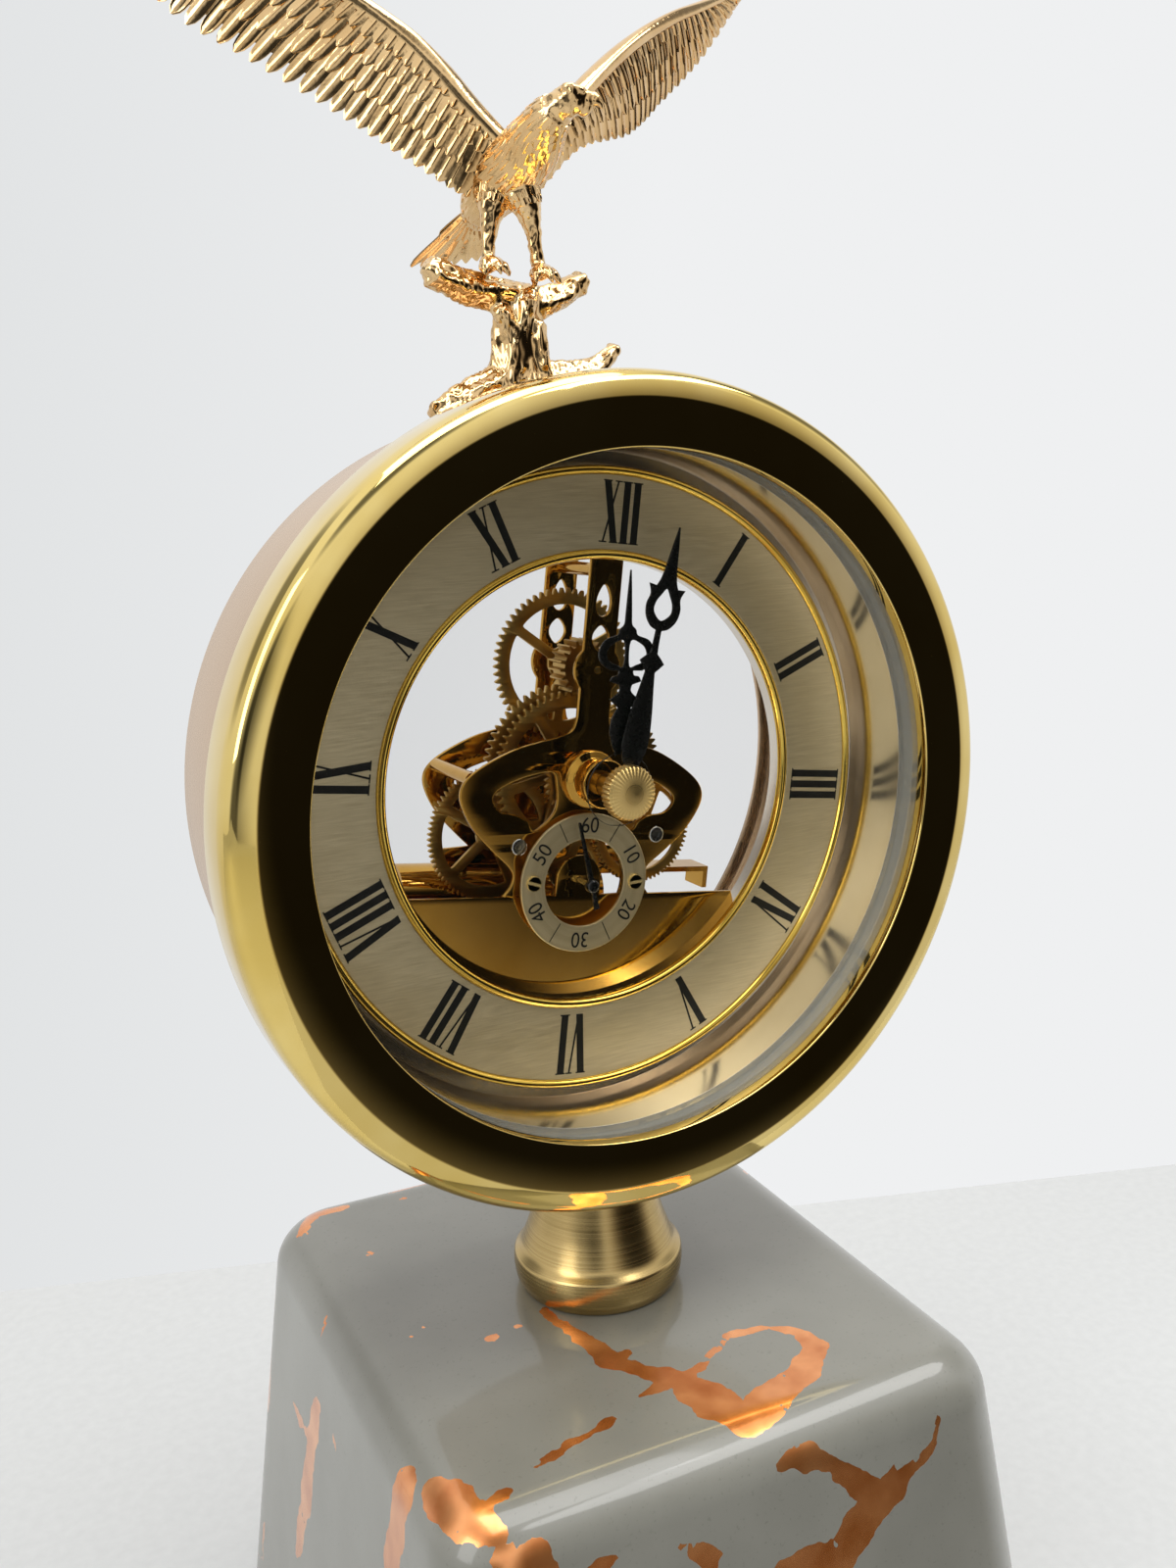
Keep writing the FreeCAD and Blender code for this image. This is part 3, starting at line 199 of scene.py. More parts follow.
def glazed_ceramic():
    """Grey gloss glaze over slip-cast earthenware with copper foil splashes under a clear coat."""
    material, tree, shader, place = finish_start("glazed_earthenware_with_copper_splashes", {
        "IOR": 1.5, "Coat Weight": 0.7, "Coat Roughness": 0.07, "Coat IOR": 1.5})
    # foil_gap is how far in millimetres a point lies outside the foil; two noises tear its edge
    gap = add(tree, "Attribute", attribute_name="foil_gap").outputs["Fac"]
    for size, reach in ((13, 6.5), (4.2, 2.6)):
        edge = add(tree, "TexNoise", {"Vector": place, "Scale": grains(size), "Detail": 2.0})
        centred = add(tree, "Math", {0: edge, 1: 0.5}, operation="SUBTRACT")
        gap = add(tree, "Math", {0: centred, 1: reach, 2: gap}, operation="MULTIPLY_ADD")
    inside = add(tree, "Math", {0: gap, 1: 0.0}, operation="LESS_THAN")
    # small tears inside the broad parts
    tears = add(tree, "TexNoise", {"Vector": place, "Scale": grains(5.5), "Detail": 2.0})
    whole = add(tree, "Math", {0: tears, 1: 0.31}, operation="GREATER_THAN")
    drawn = add(tree, "Math", {0: inside, 1: whole}, operation="MULTIPLY")
    # the right and back sides carry runs of their own, where the grain of a noise crosses its middle value
    field = add(tree, "TexNoise", {"Vector": place, "Scale": grains(62), "Detail": 5.0, "Roughness": 0.5,
                                   "Distortion": 0.5})
    offset = add(tree, "Math", {0: field, 1: 0.5}, operation="SUBTRACT")
    from_vein = add(tree, "Math", {0: offset}, operation="ABSOLUTE")
    area = add(tree, "TexNoise", {"Vector": place, "Scale": grains(70), "Detail": 1.0})
    limit = add(tree, "MapRange", {"Value": area, "From Min": 0.44, "From Max": 0.62, "To Min": -0.003,
                                   "To Max": 0.034})
    vein = add(tree, "Math", {0: from_vein, 1: limit}, operation="LESS_THAN")
    parts = add(tree, "SeparateXYZ", {"Vector": place}).outputs
    right = add(tree, "Math", {0: parts["X"], 1: 0.066}, operation="GREATER_THAN")
    back = add(tree, "Math", {0: parts["Y"], 1: 0.072}, operation="GREATER_THAN")
    far_side = add(tree, "Math", {0: right, 1: back}, operation="MAXIMUM")
    far_vein = add(tree, "Math", {0: vein, 1: far_side}, operation="MULTIPLY")
    mask = add(tree, "Math", {0: drawn, 1: far_vein}, operation="MAXIMUM")
    cloud = add(tree, "TexNoise", {"Vector": place, "Scale": grains(30), "Detail": 4.0})
    glaze = add(tree, "ValToRGB", {"Fac": cloud}, ((0.3, colour("#77766D")), (0.7, colour("#828178"))))
    # pinholes and iron specks under the glaze, under a millimetre
    speck = add(tree, "TexNoise", {"Vector": place, "Scale": grains(0.9), "Detail": 2.0})
    dots = add(tree, "MapRange", {"Value": speck, "From Min": 0.28, "From Max": 0.36, "To Min": 0.35,
                                  "To Max": 0.0})
    specked = add(tree, "Mix", {"Factor": dots, "A": glaze, "B": colour("#5E5C52")}, data_type="RGBA")
    leaf = add(tree, "TexNoise", {"Vector": place, "Scale": grains(9), "Detail": 3.0})
    foil = add(tree, "ValToRGB", {"Fac": leaf}, ((0.3, colour("#C9732F")), (0.7, colour("#F2A566"))))
    # orange peel of the clear coat, with the foil standing a little proud
    peel = add(tree, "TexNoise", {"Vector": place, "Scale": grains(5), "Detail": 2.0})
    height = add(tree, "Math", {0: mask, 1: peel}, operation="ADD")
    plug(shader, {"Base Color": add(tree, "Mix", {"Factor": mask, "A": specked, "B": foil}, data_type="RGBA"),
                  "Metallic": add(tree, "Math", {0: mask, 1: 0.85}, operation="MULTIPLY"),
                  "Roughness": add(tree, "MapRange", {"Value": mask, "To Min": 0.40, "To Max": 0.24}),
                  "Normal": add(tree, "Bump", {"Height": height, "Strength": 0.4, "Distance": 0.04 * MM})})
    return material


def cast_plate(name, grain, stretch, depth):
    """Zinc casting, plated pale gold: mirror bright, with the ripple of a chased surface."""
    material, tree, shader, place = finish_start(name, {"Metallic": 1.0})
    film = add(tree, "TexNoise", {"Vector": place, "Scale": grains(15), "Detail": 3.0})
    run = add(tree, "Mapping", {"Vector": place, "Scale": stretch})
    chase = add(tree, "TexNoise", {"Vector": run, "Scale": grains(grain), "Detail": 2.0, "Roughness": 0.45})
    shade = add(tree, "ValToRGB", {"Fac": film}, ((0.3, colour("#D3AC75")), (0.7, colour("#E8C794"))))
    plug(shader, {"Base Color": shade,
                  "Roughness": add(tree, "MapRange", {"Value": chase, "To Min": 0.05, "To Max": 0.13}),
                  "Normal": add(tree, "Bump", {"Height": chase, "Strength": 0.8, "Distance": depth * MM})})
    return material


HAND_CENTRE = tuple(case_place(0, 0, 0))
# mirror-bright brass, and the dial's beads in a deeper gold
BRASS = polished_metal("brass_buffed_and_lacquered", "#E8D087", "#D8BB67", 0.03, 0.012, 14.0, 0.03)
BEAD = polished_metal("brass_bead_turned_bright", "#E9C862", "#D2AC48", 0.08, 0.01, 6.0)
# satin: the highlight spreads into a soft band, in rings where the piece was turned or spun
DRUM = brushed_metal("steel_shell_spun_and_champagne_plated", "#DDC3A5", "#BFA284", 0.26, (1, 1, 1), 0.6,
                     0.003, (HAND_CENTRE, "Y"))
DIAL = brushed_metal("brass_dial_brushed_and_champagne_plated", "#FAEDC8", "#E2D3A9", 0.48,
                     (0.05, 1, 1), 0.35, 0.004)
PEDESTAL = brushed_metal("brass_bar_turned_satin", "#CDB47C", "#A68C58", 0.24, (1, 1, 1), 0.45, 0.006,
                         ((0.0, 0.0, 0.0), "Z"))
NUT = brushed_metal("brass_nut_turned_and_knurled", "#EFD08A", "#DDBC74", 0.30, (1, 1, 1), 0.35, 0.006,
                    (HAND_CENTRE, "Y"))
SECONDS = brushed_metal("brass_ring_turned_and_champagne_plated", "#E9DBB2", "#D0BF92", 0.46, (1, 1, 1), 0.3,
                        0.003, (tuple(insert_place(0, SECOND_LEVEL, 0)), "Y"))
# gilt and chromed sheet: clear reflections, softer on the punched wheels and the thin liner
PLATE = polished_metal("brass_plate_gilt_mirror", "#D3A855", "#B98A36", 0.05, 0.01, 8.0)
WHEEL = polished_metal("brass_wheel_punched_and_gilt", "#CFAC62", "#A98545", 0.30, 0.02, 3.0)
LINER = polished_metal("steel_liner_chromed", "#EFE7DA", "#E4DACA", 0.16, 0.008, 12.0, 0.02)
# small hardware
SCREW = brushed_metal("brass_screw_head_turned", "#F4E0A2", "#DCC27E", 0.5, (1, 1, 1), 0.3, 0.003)
STEEL = brushed_metal("steel_bright_turned", "#C9C9C6", "#A5A5A2", 0.22, (1, 1, 1), 0.4, 0.004)
COPPER = polished_metal("copper_wire_enamelled", "#C7703C", "#A85A2E", 0.25, 0.03, 1.0)
# black lacquer and enamel with a low sheen, dull plastic and felt, printed and lacquered boards
BLACK = moulded("steel_hands_black_lacquer", "#060606", 0.28, 0.9, 0.004, 0.0, 1.5)
INK = moulded("numerals_printed_black_enamel", "#0B0A08", 0.42, 0.5, 0.004, 0.0, 1.5)
PLASTIC = moulded("abs_black_moulded", "#111111", 0.45)
FELT = moulded("wool_felt_black", "#1B1B1A", 0.95, 0.35, 0.2)
BOARD = moulded("fibreglass_board_green_lacquer", "#1F5A36", 0.35, 0.8)
SLEEVE = moulded("battery_sleeve_printed_film", "#3A3A3C", 0.3)
# clear pieces: a thin sheen, and the wall seen through
GLASS = clear("glass_float_polished", "#20261F", 0.045)
GASKET = clear("vinyl_gasket_extruded_clear", "#C9CBC4", 0.30, 0.12)
# castings: bright plate that breaks the room into small ripples
CAST = cast_plate("zinc_casting_pale_gold_plated", 2.0, (1, 1, 1), 0.08)
WOOD = cast_plate("zinc_stump_pale_gold_plated", 4.0, (1, 1, 0.35), 0.14)

# ---------------------------------------------------------------- shapes, as (points, faces) in millimetres
def rounded(profile, radius, closed=True, steps=3):
    """Softens each corner of a run of points. A corner may carry its own radius as a third value."""
    out = []
    count = len(profile)
    for i, corner in enumerate(profile):
        p = Vector(corner[:2])
        r = corner[2] if len(corner) > 2 else radius
        if not closed and i in (0, count - 1):
            out.append(tuple(p))
            continue
        before = Vector(profile[i - 1][:2]) - p
        after = Vector(profile[(i + 1) % count][:2]) - p
        reach = min(r, 0.48 * before.length, 0.48 * after.length)
        if reach < 1e-4:
            out.append(tuple(p))
            continue
        start = p + before.normalized() * reach
        end = p + after.normalized() * reach
        for k in range(steps + 1):
            t = k / steps
            out.append(tuple(start * (1 - t) ** 2 + p * (2 * t * (1 - t)) + end * t * t))
    return out


def spun(section, steps, centre, closed, tips=()):
    """Form about the depth axis from section(angle), its (radius, depth) points."""
    points, faces = [], []
    for i in range(steps):
        angle = 2 * math.pi * i / steps
        points.extend((centre[0] + r * math.cos(angle), centre[1] + r * math.sin(angle), d)
                      for r, d in section(angle))
    size = len(points) // steps
    for i in range(steps):
        j = (i + 1) % steps
        for k in range(size if closed else size - 1):
            m = (k + 1) % size
            faces.append((i * size + k, j * size + k, j * size + m, i * size + m))
    for k, depth in zip((0, size - 1), tips):
        points.append((centre[0], centre[1], depth))
        faces.extend((i * size + k, ((i + 1) % steps) * size + k, len(points) - 1) for i in range(steps))
    return points, faces


def turned(profile, steps=192, centre=CENTRE, radius=0.0):
    """Ring of a closed (radius, depth) outline about the depth axis."""
    profile = rounded(profile, radius)
    return spun(lambda angle: profile, steps, centre, True)


def turned_solid(profile, steps, centre):
    """Turned form whose open (radius, depth) outline starts and ends on the axis."""
    inner = [p for p in profile if p[0] > 1e-6]
    return spun(lambda angle: inner, steps, centre, False, (profile[0][1], profile[-1][1]))


def strip(a, b):
    """Faces between two closed rings of point numbers."""
    count = len(a)
    return [(a[i], a[(i + 1) % count], b[(i + 1) % count], b[i]) for i in range(count)]


def tube(rings, size):
    """Faces through closed rings of points that are kept ring by ring."""
    faces = []
    for k in range(rings - 1):
        faces += strip(range(k * size, (k + 1) * size), range((k + 1) * size, (k + 2) * size))
    return faces


def slab(rows, columns):
    """Faces of a thin closed sheet: a net of points for its upper side, then one for its lower side."""
    faces = []
    low = rows * columns
    for k in range(rows - 1):
        for i in range(columns - 1):
            a = k * columns + i
            b = a + columns
            faces.append((a, a + 1, b + 1, b))
            faces.append((low + a, low + b, low + b + 1, low + a + 1))
        for i in (0, columns - 1):
            a = k * columns + i
            faces.append((a, a + columns, low + a + columns, low + a))
    for k in (0, rows - 1):
        for i in range(columns - 1):
            a = k * columns + i
            faces.append((a, a + 1, low + a + 1, low + a))
    return faces


def curve_mesh(data):
    """Points and faces of a filled curve or text, which is then removed."""
    holder = bpy.data.objects.new("outline", data)
    mesh = bpy.data.meshes.new_from_object(holder)
    points = [tuple(v.co) for v in mesh.vertices]
    faces = [tuple(p.vertices) for p in mesh.polygons]
    bpy.data.objects.remove(holder)
    bpy.data.curves.remove(data)
    bpy.data.meshes.remove(mesh)
    return points, faces


def cut_sheet(loops, front, thickness, edge):
    """Plate with holes: outlines in the dial's plane, broken edges front and back."""
    data = bpy.data.curves.new("cut", "CURVE")
    data.dimensions = "2D"
    data.fill_mode = "BOTH"
    data.extrude = thickness / 2 - edge
    data.bevel_depth = edge
    data.bevel_resolution = 1
    data.offset = -edge
    for loop in loops:
        spline = data.splines.new("POLY")
        spline.points.add(len(loop) - 1)
        for point, (a, b) in zip(spline.points, loop):
            point.co = (a, b, 0.0, 1.0)
        spline.use_cyclic_u = True
    points, faces = curve_mesh(data)
    middle = front + thickness / 2
    return [(a, b, middle - d) for a, b, d in points], faces


def lettering(text, height, front, thickness, centre, angle):
    """Plain figures, their feet towards the middle of the ring at this clock angle."""
    data = bpy.data.curves.new("figures", "FONT")
    data.body = text
    data.size = height
    data.align_x = "CENTER"
    data.align_y = "CENTER"
    data.extrude = thickness / 2
    points, faces = curve_mesh(data)
    narrow = 0.92
    flat = turned_points([(x * narrow, y) for x, y, _ in points], angle, centre)
    return [(a, b, front - p[2]) for (a, b), p in zip(flat, points)], faces


def prism(outline, front, back):
    """Straight-sided printed or raised stroke."""
    size = len(outline)
    points = [(a, b, front) for a, b in outline] + [(a, b, back) for a, b in outline]
    faces = [tuple(range(size)), tuple(range(2 * size - 1, size - 1, -1))]
    for i in range(size):
        j = (i + 1) % size
        faces.append((i, j, size + j, size + i))
    return points, faces


def spline_at(p, t):
    """Catmull-Rom curve between the middle two of four points."""
    return 0.5 * ((2 * p[1]) + (p[2] - p[0]) * t + (2 * p[0] - 5 * p[1] + 4 * p[2] - p[3]) * t * t
                  + (3 * p[1] - p[0] - 3 * p[2] + p[3]) * t ** 3)


def smooth_loop(points, steps=6, closed=True):
    """Smooth curve through points."""
    out = []
    count = len(points)
    last = count if closed else count - 1
    for i in range(last):
        p = [Vector(points[(i + k) % count] if closed else points[max(0, min(count - 1, i + k))])
             for k in (-1, 0, 1, 2)]
        out.extend(tuple(spline_at(p, k / steps)) for k in range(steps))
    if not closed:
        out.append(tuple(points[-1]))
    return out


def arc(radius, start, end, steps, centre=CENTRE):
    """Points of an arc, both ends kept."""
    angles = [start + (end - start) * k / steps for k in range(steps + 1)]
    return [(centre[0] + radius * math.cos(angle), centre[1] + radius * math.sin(angle)) for angle in angles]


def mirrored(points):
    """The same points on the left, in reverse, so that a right half goes on into its left half."""
    return [(-x, y) for x, y in reversed(points)]


def circle(radius, steps, centre=CENTRE):
    return [(centre[0] + radius * math.cos(2 * math.pi * i / steps),
             centre[1] + radius * math.sin(2 * math.pi * i / steps)) for i in range(steps)]


def turned_points(loop, angle, centre=CENTRE):
    """Outline turned clockwise, as seen from the front."""
    c, s = math.cos(angle), math.sin(angle)
    return [(centre[0] + x * c + y * s, centre[1] - x * s + y * c) for x, y in loop]


def joined(shapes):
    points, faces = [], []
    for shape_points, shape_faces in shapes:
        first = len(points)
        points.extend(shape_points)
        faces.extend(tuple(first + i for i in face) for face in shape_faces)
    return points, faces


def build(name, shapes, place, finish, body, nodes=(), sharp=32.0):
    """One piece from several shapes, in its place, riding its body and standing for its nodes."""
    points, faces = joined(shapes)
    mesh = bpy.data.meshes.new(name)
    mesh.from_pydata([tuple(place(*p)) for p in points], [], faces)
    work = bmesh.new()
    work.from_mesh(mesh)
    bmesh.ops.remove_doubles(work, verts=work.verts, dist=1e-7)
    bmesh.ops.recalc_face_normals(work, faces=work.faces)
    work.to_mesh(mesh)
    work.free()
    mesh.polygons.foreach_set("use_smooth", [True] * len(mesh.polygons))
    mesh.set_sharp_from_angle(angle=math.radians(sharp))
    mesh.materials.append(finish)
    piece = bpy.data.objects.new(name, mesh)
    bpy.context.scene.collection.objects.link(piece)
    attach(piece, body)
    if nodes:
        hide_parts(*nodes)
    return piece


# ---------------------------------------------------------------- nodes that show as the solids have them
for finish, names in (
        (FELT, "base_pad"), (GLASS, "front_glass rear_glass"), (GASKET, "glass_gasket"),
        (LINER, "dial_carrier"),
        (DRUM, "rear_cover"), (SCREW, "second_ring_screws"), (PLASTIC, "drive_module"), (SLEEVE, "battery"),
        (COPPER, "drive_coil"), (BOARD, "circuit_board"), (WHEEL, "minute_wheel hour_wheel upper_arbor"),
        (PLATE, "plate_pillars second_ring_posts battery_cap battery_housing"),
        (STEEL, "pedestal_stud pedestal_washer pedestal_nut perch_screws minute_post battery_contacts "
                "second_arbor drive_arbor third_arbor minute_arbor")):
    for name in names.split():
        data = frame["nodes"][name].data
        data.materials.clear()
        data.materials.append(finish)

# ---------------------------------------------------------------- camera, from the photo's vanishing lines
YAW, PITCH, ROLL = 0.48434, -0.12862, -0.03355
ahead = Vector((math.sin(YAW) * math.cos(PITCH), math.cos(YAW) * math.cos(PITCH), math.sin(PITCH)))
level_right = Vector((math.cos(YAW), -math.sin(YAW), 0.0))
level_up = level_right.cross(ahead)
cam_right = level_right * math.cos(ROLL) + level_up * math.sin(ROLL)
cam_up = level_up * math.cos(ROLL) - level_right * math.sin(ROLL)
EYE = Vector((-0.16813, -0.32981, 0.34177))
camera_data = bpy.data.cameras.new("camera")
camera_data.lens = 33.98
camera_data.shift_x = -0.00524
camera_data.shift_y = -0.0774
camera_data.clip_start = 0.01
camera = bpy.data.objects.new("camera", camera_data)
camera.matrix_world = Matrix.Translation(EYE) @ Matrix((cam_right, cam_up, -ahead)).transposed().to_4x4()
bpy.context.scene.collection.objects.link(camera)
bpy.context.scene.camera = camera


def sight(px, py):
    """Direction through a point of the 1200 x 1600 frame."""
    focal = camera_data.lens / 36.0 * 1600
    x = (px - 600) + camera_data.shift_x * 1600
    y = (800 - py) + camera_data.shift_y * 1600
    return (ahead * focal + cam_right * x + cam_up * y).normalized()


def floor_point(px, py):
    ray = sight(px, py)
    return EYE + ray * (-EYE.z / ray.z)


# ---------------------------------------------------------------- ceramic base
BASE_TOP_HALF = (70.0, 79.0)
BASE_FLARE = 13.0
BASE_CORNER = 16.0
BASE_EDGE = 11.0
BASE_TWIST = math.radians(-2.5)
BASE_FOOT = 2.0
BLOCK_TURN = Matrix.Rotation(BASE_TWIST, 3, "Z")


def block_point(px, py, side):
    """Point of the block's top, front or left side seen at a point of the 1200 x 1600 frame."""
    eye, ray = BLOCK_TURN.inverted() @ EYE, BLOCK_TURN.inverted() @ sight(px, py)
    rise = BASE_HEIGHT * MM - eye.z
    t = rise / ray.z
    if side != "top":
        axis = 1 if side == "front" else 0
        lean = BASE_FLARE / BASE_HEIGHT
        t = -(eye[axis] + BASE_TOP_HALF[axis] * MM + lean * rise) / (ray[axis] - lean * ray.z)
    return BLOCK_TURN @ (eye + ray * t)


# runs of copper foil on the block, from picture places (across, down, half width in millimetres)
FOIL = {
    "top": (
        ((556, 1338, 1.4), (589, 1361, 2.8), (621, 1388, 2.6), (654, 1399, 2.8), (695, 1408, 3.4),
         (730, 1432, 5.6), (757, 1447, 5.0)),
        ((695, 1408, 1.6), (718, 1391, 1.5), (742, 1364, 1.5), (777, 1355, 1.6), (818, 1358, 2.4),
         (833, 1376, 3.2), (818, 1402, 3.6), (789, 1426, 4.6), (757, 1447, 5.0)),
        ((654, 1424, 1.2), (676, 1415, 1.5), (690, 1404, 1.5)),
        ((551, 1496, 1.0), (583, 1473, 1.7), (608, 1460, 1.3), (626, 1446, 0.7)),
        ((421, 1488, 1.4), (432, 1510, 4.2), (455, 1535, 6.2), (495, 1556, 5.0), (535, 1566, 4.0)),
        ((424, 1500, 2.6), (416, 1540, 4.0), (412, 1585, 4.2)),
        ((480, 1545, 2.0), (497, 1534, 1.6), (515, 1524, 1.3)),
        ((350, 1232, 1.4), (318, 1238, 1.8), (305, 1254, 2.6)),
        # single drops
        ((411, 1223, 1.1),), ((378, 1279, 0.8),), ((502, 1365, 1.9),), ((434, 1354, 1.3),),
        ((362, 1376, 1.0),),
        ((419, 1364, 0.6),), ((528, 1353, 0.8),), ((753, 1232, 0.5),), ((698, 1342, 0.5),),
        ((640, 1381, 0.9),), ((392, 1238, 0.4),), ((409, 1376, 0.4),)),
    "left": (
        ((306, 1258, 2.0), (318, 1280, 3.6), (324, 1314, 3.0), (327, 1370, 0.8)),
        ((324, 1434, 3.6), (318, 1474, 4.6), (312, 1530, 4.8), (304, 1585, 3.4)),
        ((338, 1450, 1.0), (342, 1480, 0.7)),
        ((296, 1418, 0.8), (306, 1450, 1.4), (318, 1474, 2.5)),
        ((410, 1518, 4.6), (404, 1560, 5.4), (398, 1600, 4.6))),
    "front": (
        ((470, 1590, 4.0), (520, 1592, 3.4), (552, 1580, 2.6)),
        ((959, 1443, 0.9), (951, 1479, 1.4), (924, 1502, 2.2), (900, 1532, 4.2), (874, 1561, 4.6),
         (859, 1590, 4.0), (795, 1599, 2.0)),
        ((900, 1526, 2.4), (871, 1511, 1.9), (836, 1485, 2.8), (812, 1488, 2.2), (786, 1502, 0.8)),
        ((914, 1510, 1.0), (912, 1492, 0.7)),
        ((695, 1576, 1.2), (730, 1594, 2.0)),
        ((630, 1591, 1.4), (606, 1600, 1.8)),
        ((540, 1572, 2.4), (556, 1590, 2.0)),
        # below the photograph's lower edge
        ((859, 1590, 4.0), (842, 1640, 3.2), (858, 1700, 4.4), (835, 1752, 2.4), (846, 1800, 0.8)),
        ((556, 1592, 1.6), (585, 1650, 3.4), (570, 1720, 4.2), (598, 1790, 3.0), (590, 1850, 1.0)),
        ((700, 1830, 1.0), (735, 1850, 2.6), (770, 1900, 3.8), (752, 1960, 2.6), (765, 2010, 0.8)),
        ((985, 1700, 0.8), (1000, 1740, 2.2), (985, 1790, 2.8), (1003, 1840, 0.8)),
        ((640, 1960, 0.8), (665, 1985, 1.8), (655, 2020, 0.8)))}
SPLASHES = [[(block_point(x, y, side), r) for x, y, r in run] for side, runs in FOIL.items() for run in runs]
GLAZE = glazed_ceramic()


def foil_gap(p):
    """How far in millimetres a point of the block lies outside the nearest run of foil."""
    least = 1.0
    for run in SPLASHES:
        for (a, ra), (b, rb) in zip(run, run[1:] if len(run) > 1 else run):
            along = b - a
            share = max(0.0, min(1.0, (p - a).dot(along) / max(1e-9, along.length_squared)))
            least = min(least, (p - a - along * share).length - (ra + (rb - ra) * share) * MM)
    return min(30.0, least / MM)


def base_level(inset, height, corner):
    """Level ring of the block, close-set points so that the foil's outline can be kept on them."""
    corner_steps, side_steps = 12, 56
    grow = BASE_FLARE * (BASE_HEIGHT - height) / BASE_HEIGHT
    half_x, half_y = (half + grow - inset - corner for half in BASE_TOP_HALF)
    corners = [arc(corner, k * math.pi / 2, (k + 1) * math.pi / 2, corner_steps, (sx * half_x, sy * half_y))
               for k, (sx, sy) in enumerate(((1, 1), (-1, 1), (-1, -1), (1, -1)))]
    ring = []
    for k, run in enumerate(corners):
        start, end = Vector(run[-1]), Vector(corners[(k + 1) % 4][0])
        ring += run + [tuple(start.lerp(end, step / side_steps)) for step in range(1, side_steps)]
    return [(x, y, height) for x, y in turned_points(ring, -BASE_TWIST)]


def ceramic_base():
    """Hollow slip-cast block: inner wall, foot, outer side, rounded top edge, then crown and ceiling."""
    wall, ceiling, bolt_hole = 6.0, BASE_HEIGHT - 13.0, 5.2
    side_foot = BASE_FOOT + 1.4
    rings = [base_level(wall, ceiling, BASE_CORNER - wall),
             base_level(wall, BASE_FOOT + 2, BASE_CORNER - wall),
             base_level(wall - 1.5, BASE_FOOT, BASE_CORNER - wall + 1.5),
             base_level(1.2, BASE_FOOT, BASE_CORNER - 1.2),
             base_level(0.3, BASE_FOOT + 0.4, BASE_CORNER - 0.3), base_level(0, side_foot, BASE_CORNER)]
    for k in range(1, 45):
        rings.append(base_level(0, side_foot + (BASE_HEIGHT - BASE_EDGE - side_foot) * k / 45, BASE_CORNER))
    for k in range(13):
        turn = k / 12 * math.pi / 2
        inset = BASE_EDGE * (1 - math.cos(turn))
        rings.append(base_level(inset, BASE_HEIGHT - BASE_EDGE * (1 - math.sin(turn)),
                                BASE_CORNER - inset * 0.9))
    size = len(rings[0])
    points = [p for ring in rings for p in ring]
    faces = tube(len(rings), size)
    # crown drawn in to the bolt hole, and the ceiling inside
    edges = []
    for level, ring_at, steps in ((BASE_HEIGHT, len(rings) - 1, 40), (ceiling, 0, 4)):
        before = range(ring_at * size, (ring_at + 1) * size)
        rim = [points[i] for i in before]
        for k in range(1, steps + 1):
            first = len(points)
            for x, y, _ in rim:
                angle = math.atan2(y, x)
                points.append((x + (bolt_hole * math.cos(angle) - x) * k / steps,
                               y + (bolt_hole * math.sin(angle) - y) * k / steps, level))
            ring = range(first, first + size)
            faces += strip(before, ring)
            before = ring
        edges.append(before)
    return points, faces + strip(*edges)


block = build("ceramic_base_glazed", [ceramic_base()], stand_place, GLAZE, "stand", ["ceramic_base"],
              60)
foil = block.data.attributes.new("foil_gap", "FLOAT", "POINT")
foil.data.foreach_set("value", [foil_gap(v.co) for v in block.data.vertices])


# ---------------------------------------------------------------- pedestal, turned about the upright axis
def upright_place(a, b, d):
    return stand_place(a, b, BASE_HEIGHT + d)


def pedestal():
    """Turned foot with a band, cone and neck; the neck's top is scooped to the drum."""
    profile = rounded([(0.0, 0.0), (20.4, 0.0, 0.8), (21.8, 2.6, 2.0), (22.3, 6.0, 2.0), (22.1, 8.8, 0.6),
                       (20.2, 10.8, 1.2), (17.4, 18.0, 6.0), (15.2, 27.5, 6.0), (15.0, 31.0, 3.0),
                       (16.4, 38.0, 4.0), (17.4, 43.2)], 0, False, 6)
    profile = [p for p in profile if p[0] > 0]
    steps = 128

    def drum_above(x):
        return AXIS_HEIGHT - BASE_HEIGHT - math.sqrt(DRUM_RADIUS ** 2 - x * x)

    points, faces = spun(lambda angle: [(r, min(d, drum_above(r * math.cos(angle)))) for r, d in profile],
                         steps, CENTRE, False)
    # saddle and underside as a few rings drawn in to the bolt hole
    size = len(profile)
    for k, inner in ((size - 1, (12.0, 8.0, 4.2)), (0, (12.0, 4.2))):
        before = range(k, steps * size, size)
        for r in inner:
            ring = range(len(points), len(points) + steps)
            points.extend((x, y, drum_above(x) if k else 0.0) for x, y in circle(r, steps))
            faces += strip(before, ring)
            before = ring
    return points, faces


build("pedestal_turned", [pedestal()], upright_place, PEDESTAL, "stand", ["pedestal"], 40)

